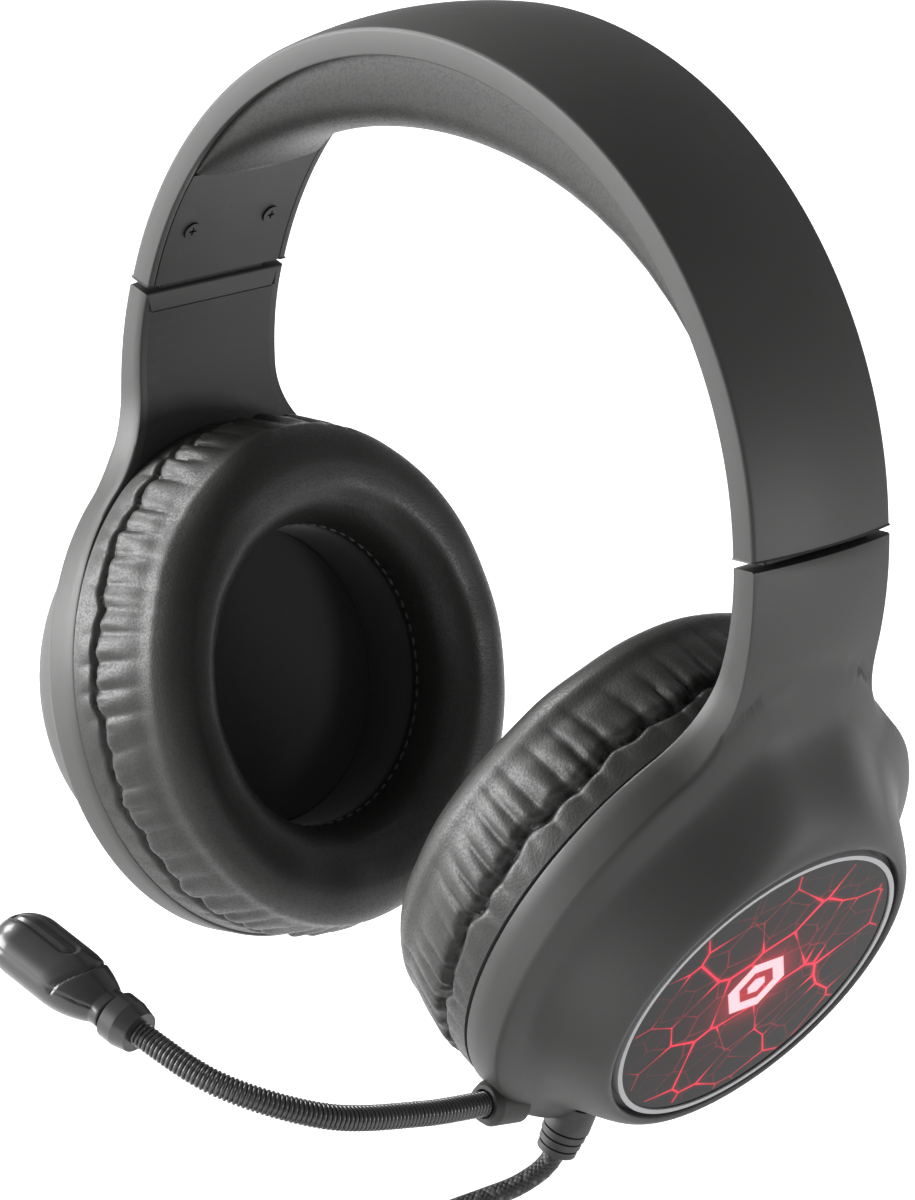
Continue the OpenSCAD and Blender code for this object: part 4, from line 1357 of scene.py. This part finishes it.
        rings = [spoke(self.hole_r, seat - self.wall), spoke(self.hole_r, seat), spoke(self.groove_r, seat),
                 spoke(self.groove_r, top - 0.75), spoke(self.groove_r + 0.12, top - 0.3),
                 spoke(self.groove_r + 0.45, top - 0.05)]
        rings += [face(f) for f in np.linspace(0, 0.975, 27) ** 1.15]
        outer_edge = face(1.0)
        rings.append(mix(outer_edge, mix(face(0.97), self.on_cup(crease, 0.93), 0.5), 0.35))
        rings += [self.on_cup(mix(crease, rim, 0.1), 0.92), self.on_cup(mix(crease, rim, 0.6), 0.4),
                  self.on_cup(rim, 0.08), self.on_cup(drawn_in(rim, -0.18), 0.02),
                  self.on_cup(drawn_in(rim, -0.45), 0.0), self.on_cup(rim_in, 0.0), self.on_cup(rim_in, 0.3)]
        rings += [under(f) for f in (0.975, 0.91, 0.8, 0.64, 0.46, 0.28, 0.12)]
        return mesh_piece(f"Cup_housing_{self.frame.side.word}", np.concatenate(rings),
                          grid_faces(len(rings), len(crease), wrap_rows=True),
                          [self.rack.take("shell_plastic")], flip=self.frame.side is Side.RIGHT,
                          crease_deg=38)

    def tongue(self) -> bpy.types.Object:
        """A dark tongue on the arm's end that fills the gap round the strip."""
        half = np.array([self.tongue_t, self.tongue_w]) / 2
        plan = rounded([(-half[0], -half[1]), (half[0], -half[1]), half, (-half[0], half[1])], [0.5] * 4)
        end, lean = math.radians(self.band_end_deg), math.radians(self.strip_lean_deg)
        r = self.band_r - self.arm_t + self.strip_depth
        x0, z0 = r * math.sin(end), self.band_z + r * math.cos(end)
        rings = []
        for low, share in ((-self.slide_gap - self.tongue_root, 1.0), (-0.5, 1.0), (-0.25, 0.82)):
            p = plan * [share, 1 - (1 - share) * 0.1]
            x = x0 + p[:, 0] * math.cos(lean) - low * math.sin(lean)
            z = z0 + p[:, 0] * math.sin(lean) + low * math.cos(lean)
            rings.append(np.stack([self.frame.side.value * x, p[:, 1], z], 1))
        count = len(plan)
        faces = grid_faces(3, count) + [tuple(reversed(range(count))), tuple(range(2 * count, 3 * count))]
        return mesh_piece(f"Arm_tongue_{self.frame.side.word}", np.concatenate(rings), faces,
                          [self.rack.take("cover_plastic")], flip=self.frame.side is Side.RIGHT)

    def build(self) -> None:
        """Builds, declares and reports the cup's own pieces."""
        side, body = self.frame.side.word, self.frame.side.word + "_cup"
        declare(self.housing(), body, "shell_plastic", f"cup_housing_{side}")
        declare(self.tongue(), body, "cover_plastic")
        cushion = Cushion(self.rack, self.frame)
        soft = cushion.piece(self.puff)
        declare(soft, body, "cushion_leather", f"ear_cushion_{side}")
        declare(cushion.stitches(), body, "cushion_leather")


@dataclass
class Cushion:
    """An ear cushion: a puffed leatherette ring, gathered round its outer seam."""

    rack: Rack
    frame: CupFrame
    back: float = -8.4
    front: float = -35.2
    seam_r: float = 50.0
    open_r: float = 29.0
    nose_r: float = 9.0
    oval: float = 0.915
    open_oval: float = 0.96
    seam_n: float = -14.8
    valley_n: float = -26.6
    seam_depth: float = 1.5
    gathers: int = 54
    around: int = 528
    coarse_around: int = 96
    coarse_steps: int = 40
    steps: int = 120
    cloth_from: float = -21.5
    slack: float = 0.975
    fullness: float = 0.988
    stitch_pitch: float = 2.6
    stitch_thread: float = 0.26

    def profile(self, count: int, share: float = 1.0) -> Points:
        """The section from the outer back edge over the front to the inner back edge.

        Args:
            count: Number of points.
            share: Below 1, the start shape before it is puffed.
        Returns:
            Points of radius and n.
        """
        c, f, o = self.seam_r, self.front, self.open_r
        knots = [(c + 0.3, self.back), (c + 0.3, self.back - 3.5), (c, self.back - 9),
                 (c - 0.8, self.back - 15)]
        knots += [(c - self.nose_r - 1 + self.nose_r * math.cos(math.radians(a)),
                   f + self.nose_r - self.nose_r * math.sin(math.radians(a))) for a in range(15, 91, 15)]
        deep = self.cloth_from - f - 1
        knots += [(o + 9.0 - 9.0 * math.cos(math.radians(a)), f + deep * (1 - math.sin(math.radians(a))))
                  for a in (78, 60, 42, 24)]
        knots += [(o, f + deep), (o, mix(f + deep, self.back, 0.5)), (o, self.back)]
        line = evenly(through(knots, 8), count)
        mid = np.array([(c + o) / 2, (self.back + f) / 2])
        return mid + (line - mid) * share

    def ring_points(self, profile: Points, around: int, lift: Optional[Points] = None) -> Points:
        """The profile carried round the oval, in the cup's own coordinates.

        Args:
            profile: Points of radius and n.
            around: Stations round the cushion.
            lift: Outward shift for each profile point and station.
        Returns:
            Points as profile steps by stations by 3 (n, y, s).
        """
        a = np.arange(around) * 2 * math.pi / around
        r = np.repeat(profile[:, :1], around, 1)
        n = np.repeat(profile[:, 1:], around, 1)
        if lift is not None:
            d = np.gradient(profile, axis=0)
            out = unit(np.stack([-d[:, 1], d[:, 0]], 1)) * -1
            out *= np.sign(out[len(out) // 8, 0])
            r, n = r + lift * out[:, :1], n + lift * out[:, 1:]
        k = mix(self.open_oval, self.oval, smooth(self.open_r, self.seam_r, r))
        return np.stack([n, r * k * np.sin(a), r * np.cos(a)], -1)

    def puffed(self) -> Points:
        """Movement of the coarse skin under pressure, in the cup's coordinates."""
        start = self.ring_points(self.profile(self.coarse_steps, self.slack), self.coarse_around)
        faces = grid_faces(self.coarse_steps, self.coarse_around)
        sewn = np.zeros(start.shape[:2], bool)
        sewn[[0, 1, -1], :] = True
        sewn[-12:, :] = True
        return Inflation().run(
            "Cushion_skin", start.reshape(-1, 3), faces, sewn.ravel()).reshape(start.shape)

    def relief(self, profile: Points) -> Points:
        """Seam, gathers and soft wrinkles as an outward lift.

        Args:
            profile: Points of radius and n.
        Returns:
            Lift for each profile point and station.
        """
        a = np.arange(self.around) * 2 * math.pi / self.around
        rng = np.random.default_rng(5)
        wobble = sum(rng.uniform(0.5, 1) * np.sin(k * a + rng.uniform(0, 6.3)) for k in (4, 7, 11, 17)) * 0.9
        n = profile[:, 1][:, None]
        line = self.seam_n + 0.45 * np.sin(13 * a + 0.6) + 0.35 * np.sin(29 * a) + 0.2 * np.sin(43 * a + 2)
        gap = n - line
        slant = 0.05 * gap * np.sin(3 * a + 0.4)
        phase = self.gathers * a + wobble + slant * 3
        size = 0.72 + 0.28 * np.sin(7 * a + 1.0) * np.sin(5 * a)
        puff = np.abs(np.cos(phase / 2)) ** 0.7 - 0.68
        split = np.abs(np.cos(phase + 1.3 * np.sin(3 * a))) ** 0.6 - 0.7
        outer = (np.arange(len(profile)) < len(profile) * 0.62)[:, None]
        reach = -10.5 + 3.0 * np.sin(9 * a + 2.0) * np.sin(4 * a)
        fore = smooth(reach - 5.5, -1.0, gap) * smooth(0.3, -0.8, gap)
        aft = smooth(0.2, 0.9, gap) * smooth(5.8, 1.5, gap)
        lift = fore * size * (1.55 * puff + 0.55 * split * smooth(-7, -1, gap))
        lift = lift + aft * 0.55 * size * puff
        lift = lift - self.seam_depth * np.exp(-(gap / 0.75) ** 2)
        lift = lift - 0.22 * np.exp(-((n - self.valley_n - 0.5 * np.sin(6 * a)) / 2.0) ** 2)
        lift = lift + 0.5 * smooth(self.valley_n - 2, self.valley_n + 5, n) * smooth(0.4, -2.5, gap)
        broad = 0.14 * np.sin(7 * a + n * 0.21) * np.sin(4 * a - n * 0.13 + 1.3)
        lift = np.where(outer, lift + broad * smooth(self.back, self.back - 8, n), 0.0)
        front = np.exp(-((n - self.front) / 5.0) ** 2)
        lift = lift + 0.10 * front * np.sin(6 * a + 0.7) * np.sin(11 * a + 2.0)
        inner = (np.arange(len(profile)) > len(profile) * 0.72)[:, None]
        lift = lift - np.where(inner, 0.55 * np.exp(-((n - self.cloth_from) / 0.5) ** 2), 0.0)
        return lift

    def piece(self, puff: Points) -> bpy.types.Object:
        """The finished cushion.

        Args:
            puff: Movement of the coarse skin.
        Returns:
            The object.
        """
        profile = self.profile(self.steps, self.fullness)
        local = self.ring_points(profile, self.around, self.relief(profile))
        local = local + spread(puff, self.steps, self.around, wrap=True)
        world = self.frame.place(local[..., 0], local[..., 1], local[..., 2])
        world = np.concatenate([world, self.frame.place(
            np.full(self.around, self.back), local[-1, :, 1], local[-1, :, 2])[None]])
        rows = len(world)
        faces = grid_faces(rows, self.around, wrap_rows=True)
        along = np.arange(rows).repeat(self.around)
        level = np.append(profile[:, 1], self.back)[along]
        cloth = ((along > self.steps * 0.7) & (level > self.cloth_from)).astype(int)
        return mesh_piece(f"Ear_cushion_skin_{self.frame.side.word}", world.reshape(-1, 3), faces,
                          [self.rack.take("cushion_leather"), self.rack.take("speaker_fabric")],
                          flip=self.frame.side is Side.LEFT, crease_deg=75, material_of=cloth)

    def stitches(self) -> bpy.types.Object:
        """A row of stitches where the leatherette meets the inner cloth."""
        a = np.arange(160) * 2 * math.pi / 160
        r = self.open_r + 0.1
        ring = self.frame.place(self.cloth_from - 1.5, r * self.open_oval * np.sin(a), r * np.cos(a))
        return StitchRow(self.rack.take("thread")).bake(
            f"Cushion_stitches_{self.frame.side.word}", ring, True, pitch=self.stitch_pitch * MM,
            thread=self.stitch_thread * MM)


# ---------------------------------------------------------------- microphone

@dataclass
class Microphone:
    """The ribbed gooseneck in its four lengths, and the capsule, in millimetres."""

    rack: Rack
    neck_d: float = 4.8
    pitch: float = 0.85
    wire: float = 0.42
    tip_l: float = 8.0
    per_length: int = 24
    collar_l: float = 6.0
    capsule_l: float = 29.6
    capsule_w: float = 14.5
    capsule_t: float = 11.5
    capsule_rows: int = 110
    capsule_around: int = 96
    nose_l: float = 7.0
    rear_l: float = 13.0
    rear_share: float = 0.30
    waist_share: float = 0.60
    slot_from: float = 14.5
    slot_to: float = 26.0
    slot_half: float = 2.0
    slot_depth: float = 0.55
    island_rise: float = 0.42
    seam_depth: float = 0.25
    saddle_at: float = 8.0
    saddle_curve: float = 2.6
    saddle_depth: float = 0.45
    knots: tuple = ((47.5, -34.0, -162.5), (47.0, -50.0, -160.0), (43.5, -70.0, -156.0),
                    (31.0, -84.5, -151.0), (15.0, -90.0, -146.0))
    heading: Colour = (-34.5, -3.0, 7.4)

    def necks(self) -> None:
        """One ribbed length for each body of the boom."""
        past_end = np.array(self.knots[-1]) + self.tip_l * unit(np.array(self.heading))
        line = through([*self.knots, tuple(past_end)], self.per_length)
        tree = RibbedNeck(self.rack.take("gooseneck_black"))
        bodies = ("boom_lower", "boom_middle", "boom_upper", "mic_head")
        nodes = ("gooseneck_root", "gooseneck_middle", "gooseneck_upper", "gooseneck_tip")
        for i, (body, node) in enumerate(zip(bodies, nodes)):
            part = line[i * self.per_length:(i + 1) * self.per_length + 1]
            piece = tree.bake(f"Neck_{body}", part, False, radius=self.neck_d / 2 * MM, wire=self.wire * MM,
                              pitch=self.pitch * MM)
            declare(piece, body, "gooseneck_black", node)

    def axes(self) -> tuple[Points, Points, Points]:
        """The capsule's thin, wide and long directions."""
        d = unit(np.array(self.heading))
        wide = unit(np.array([-d[1], d[0], 0.0]))
        return np.cross(wide, d), wide, d

    def capsule(self) -> bpy.types.Object:
        """The capsule: a flattened pill with a saddle at its neck and a long pressed slot."""
        thin, wide, long_ = self.axes()
        rows, around = self.capsule_rows, self.capsule_around
        t = np.linspace(0, 1, rows)
        z = self.capsule_l * (1 - np.cos(math.pi * t)) / 2
        bulge = np.sin(np.clip(z / self.rear_l, 0, 1) * math.pi / 2) ** 0.8
        rear = mix(self.rear_share, 1.0, bulge)
        into_nose = np.clip(z - (self.capsule_l - self.nose_l), 0, None) / self.nose_l
        nose = np.sqrt(np.clip(1 - into_nose ** 2, 0, 1))
        waist = np.where(z < self.rear_l, np.maximum(rear, self.waist_share), 1.0) * nose
        waist *= np.sqrt(np.clip(z / 0.9, 0, 1))
        a = np.arange(around) * 2 * math.pi / around
        x = self.capsule_t / 2 * waist[:, None] * np.cos(a)[None]
        y = self.capsule_w / 2 * waist[:, None] * np.sin(a)[None]
        along = np.repeat(z[:, None], around, 1)
        away = np.hypot(along - np.clip(along, self.slot_from, self.slot_to), y)
        up = x < 0
        slot = np.where(up, smooth(self.slot_half + 0.35, self.slot_half - 0.25, away), 0)
        island = np.where(up, smooth(self.slot_half - 0.7, self.slot_half - 1.1, away), 0)
        seam = np.exp(-((x + 1.2) / 0.16) ** 2) * smooth(1, 3, along)
        saddle_edge = self.saddle_at + self.saddle_curve * (y / (self.capsule_w / 2)) ** 2
        saddle = np.where(up, np.exp(-((along - saddle_edge) / 0.28) ** 2), 0)
        sink = (self.slot_depth * slot - self.island_rise * island + self.seam_depth * seam
                + self.saddle_depth * saddle)
        centre = np.array(self.knots[-1]) + long_ * self.collar_l
        out = np.stack([x / (self.capsule_t / 2) ** 2, y / (self.capsule_w / 2) ** 2], -1)
        out = out / np.maximum(np.linalg.norm(out, axis=-1, keepdims=True), 1e-6)
        x, y = x - sink * out[..., 0], y - sink * out[..., 1]
        points = centre + x[..., None] * thin + y[..., None] * wide + along[..., None] * long_
        points = np.concatenate([points[:-1].reshape(-1, 3), (centre + long_ * self.capsule_l)[None]])
        last = (rows - 1) * around
        faces = grid_faces(rows - 1, around)
        faces += [(last - around + i, last - around + (i + 1) % around, last) for i in range(around)]
        faces.append(tuple(reversed(range(around))))
        return mesh_piece("Mic_capsule", points, faces, [self.rack.take("mic_gloss")], crease_deg=60)

    def build(self) -> None:
        """Builds, declares and reports the boom and capsule."""
        self.necks()
        declare(self.capsule(), "mic_head", "mic_gloss", "mic_shell_inner", "mic_shell_outer")


# ---------------------------------------------------------------- lead

@dataclass
class Lead:
    """The braided lead: straight out of its relief, down, and into a stored coil with its plug."""

    rack: Rack
    diameter: float = 4.0
    coil_at: Colour = (40.0, -86.0, -212.5)
    radii: tuple[float, ...] = (27.0, 23.0, 19.0)
    layers: int = 4
    per_turn: int = 20
    first_deg: int = 20
    last_deg: int = 70
    step_from: float = 0.8
    free_points: int = 34
    start: Colour = (44.80, -9.90, -179.28)
    route: tuple = ((44.35, -10.25, -181.4), (43.4, -12.2, -184.6), (41.3, -16.6, -187.8),
                    (37.7, -22.4, -190.6), (34.6, -28.5, -193.0), (33.1, -35.0, -195.0),
                    (33.6, -41.5, -197.0), (36.0, -47.6, -198.2), (39.6, -52.3, -198.5),
                    (44.0, -56.6, -198.5))
    tail: tuple = ((65.9, -94.5, -210.3), (64.2, -98.9, -209.4), (63.2, -103.0, -208.5),
                   (63.0, -108.5, -208.5))

    def coil(self) -> Points:
        """The stored turns, layer by layer from the top, outward and inward by turns."""
        points = []
        top = self.layers * self.diameter - self.diameter / 2
        start = math.radians(self.first_deg)
        turns = len(self.radii)
        for layer in range(self.layers):
            radii = self.radii if layer % 2 == 0 else self.radii[::-1]
            last = layer == self.layers - 1
            for k in range(turns * self.per_turn + (self.per_turn * self.last_deg // 360 if last else 0)):
                turn, share = divmod(k / self.per_turn, 1)
                turn = int(turn)
                now = radii[min(turn, turns - 1)]
                after = radii[min(turn + 1, turns - 1)]
                step = smooth(self.step_from, 1.0, share)
                r = mix(now, after, step)
                sink = step if turn == turns - 1 and not last else 0
                drop = self.diameter * (layer + sink)
                a = start + 2 * math.pi * k / self.per_turn
                points.append((self.coil_at[0] + r * math.sin(a), self.coil_at[1] + r * math.cos(a),
                               self.coil_at[2] + top - drop))
        return np.array(points)

    def path(self) -> Points:
        """The whole lead from its relief to its plug."""
        coil = self.coil()
        free = evenly(through([self.start, *self.route, coil[0]], 8), self.free_points)
        tail = through([coil[-1], *self.tail], 3)[1:]
        return np.concatenate([free[:-1], coil, tail])

    def build(self) -> None:
        """Builds the lead in place of the CAD lead and its coil."""
        path = self.path()
        lead = tube("Lead", path, self.diameter / 2, 14, self.rack.take("lead_braid"), turns_uv=True)
        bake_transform(lead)
        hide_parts("lead", "lead_coil")


# ---------------------------------------------------------------- the whole headset


def main() -> None:
    """Builds every sub-assembly in order."""
    logging.basicConfig(level=logging.INFO, format="%(name)s: %(message)s")
    cups = {side: CupFrame(side) for side in Side}
    rack = Rack(cups)
    Studio().build()
    Lead(rack).build()
    dress_frame(rack)
    Headband(rack).build()
    puff = Cushion(rack, cups[Side.LEFT]).puffed()
    for side in Side:
        Cup(rack, cups[side], puff).build()
    Microphone(rack).build()


if __name__ == "__main__":
    main()
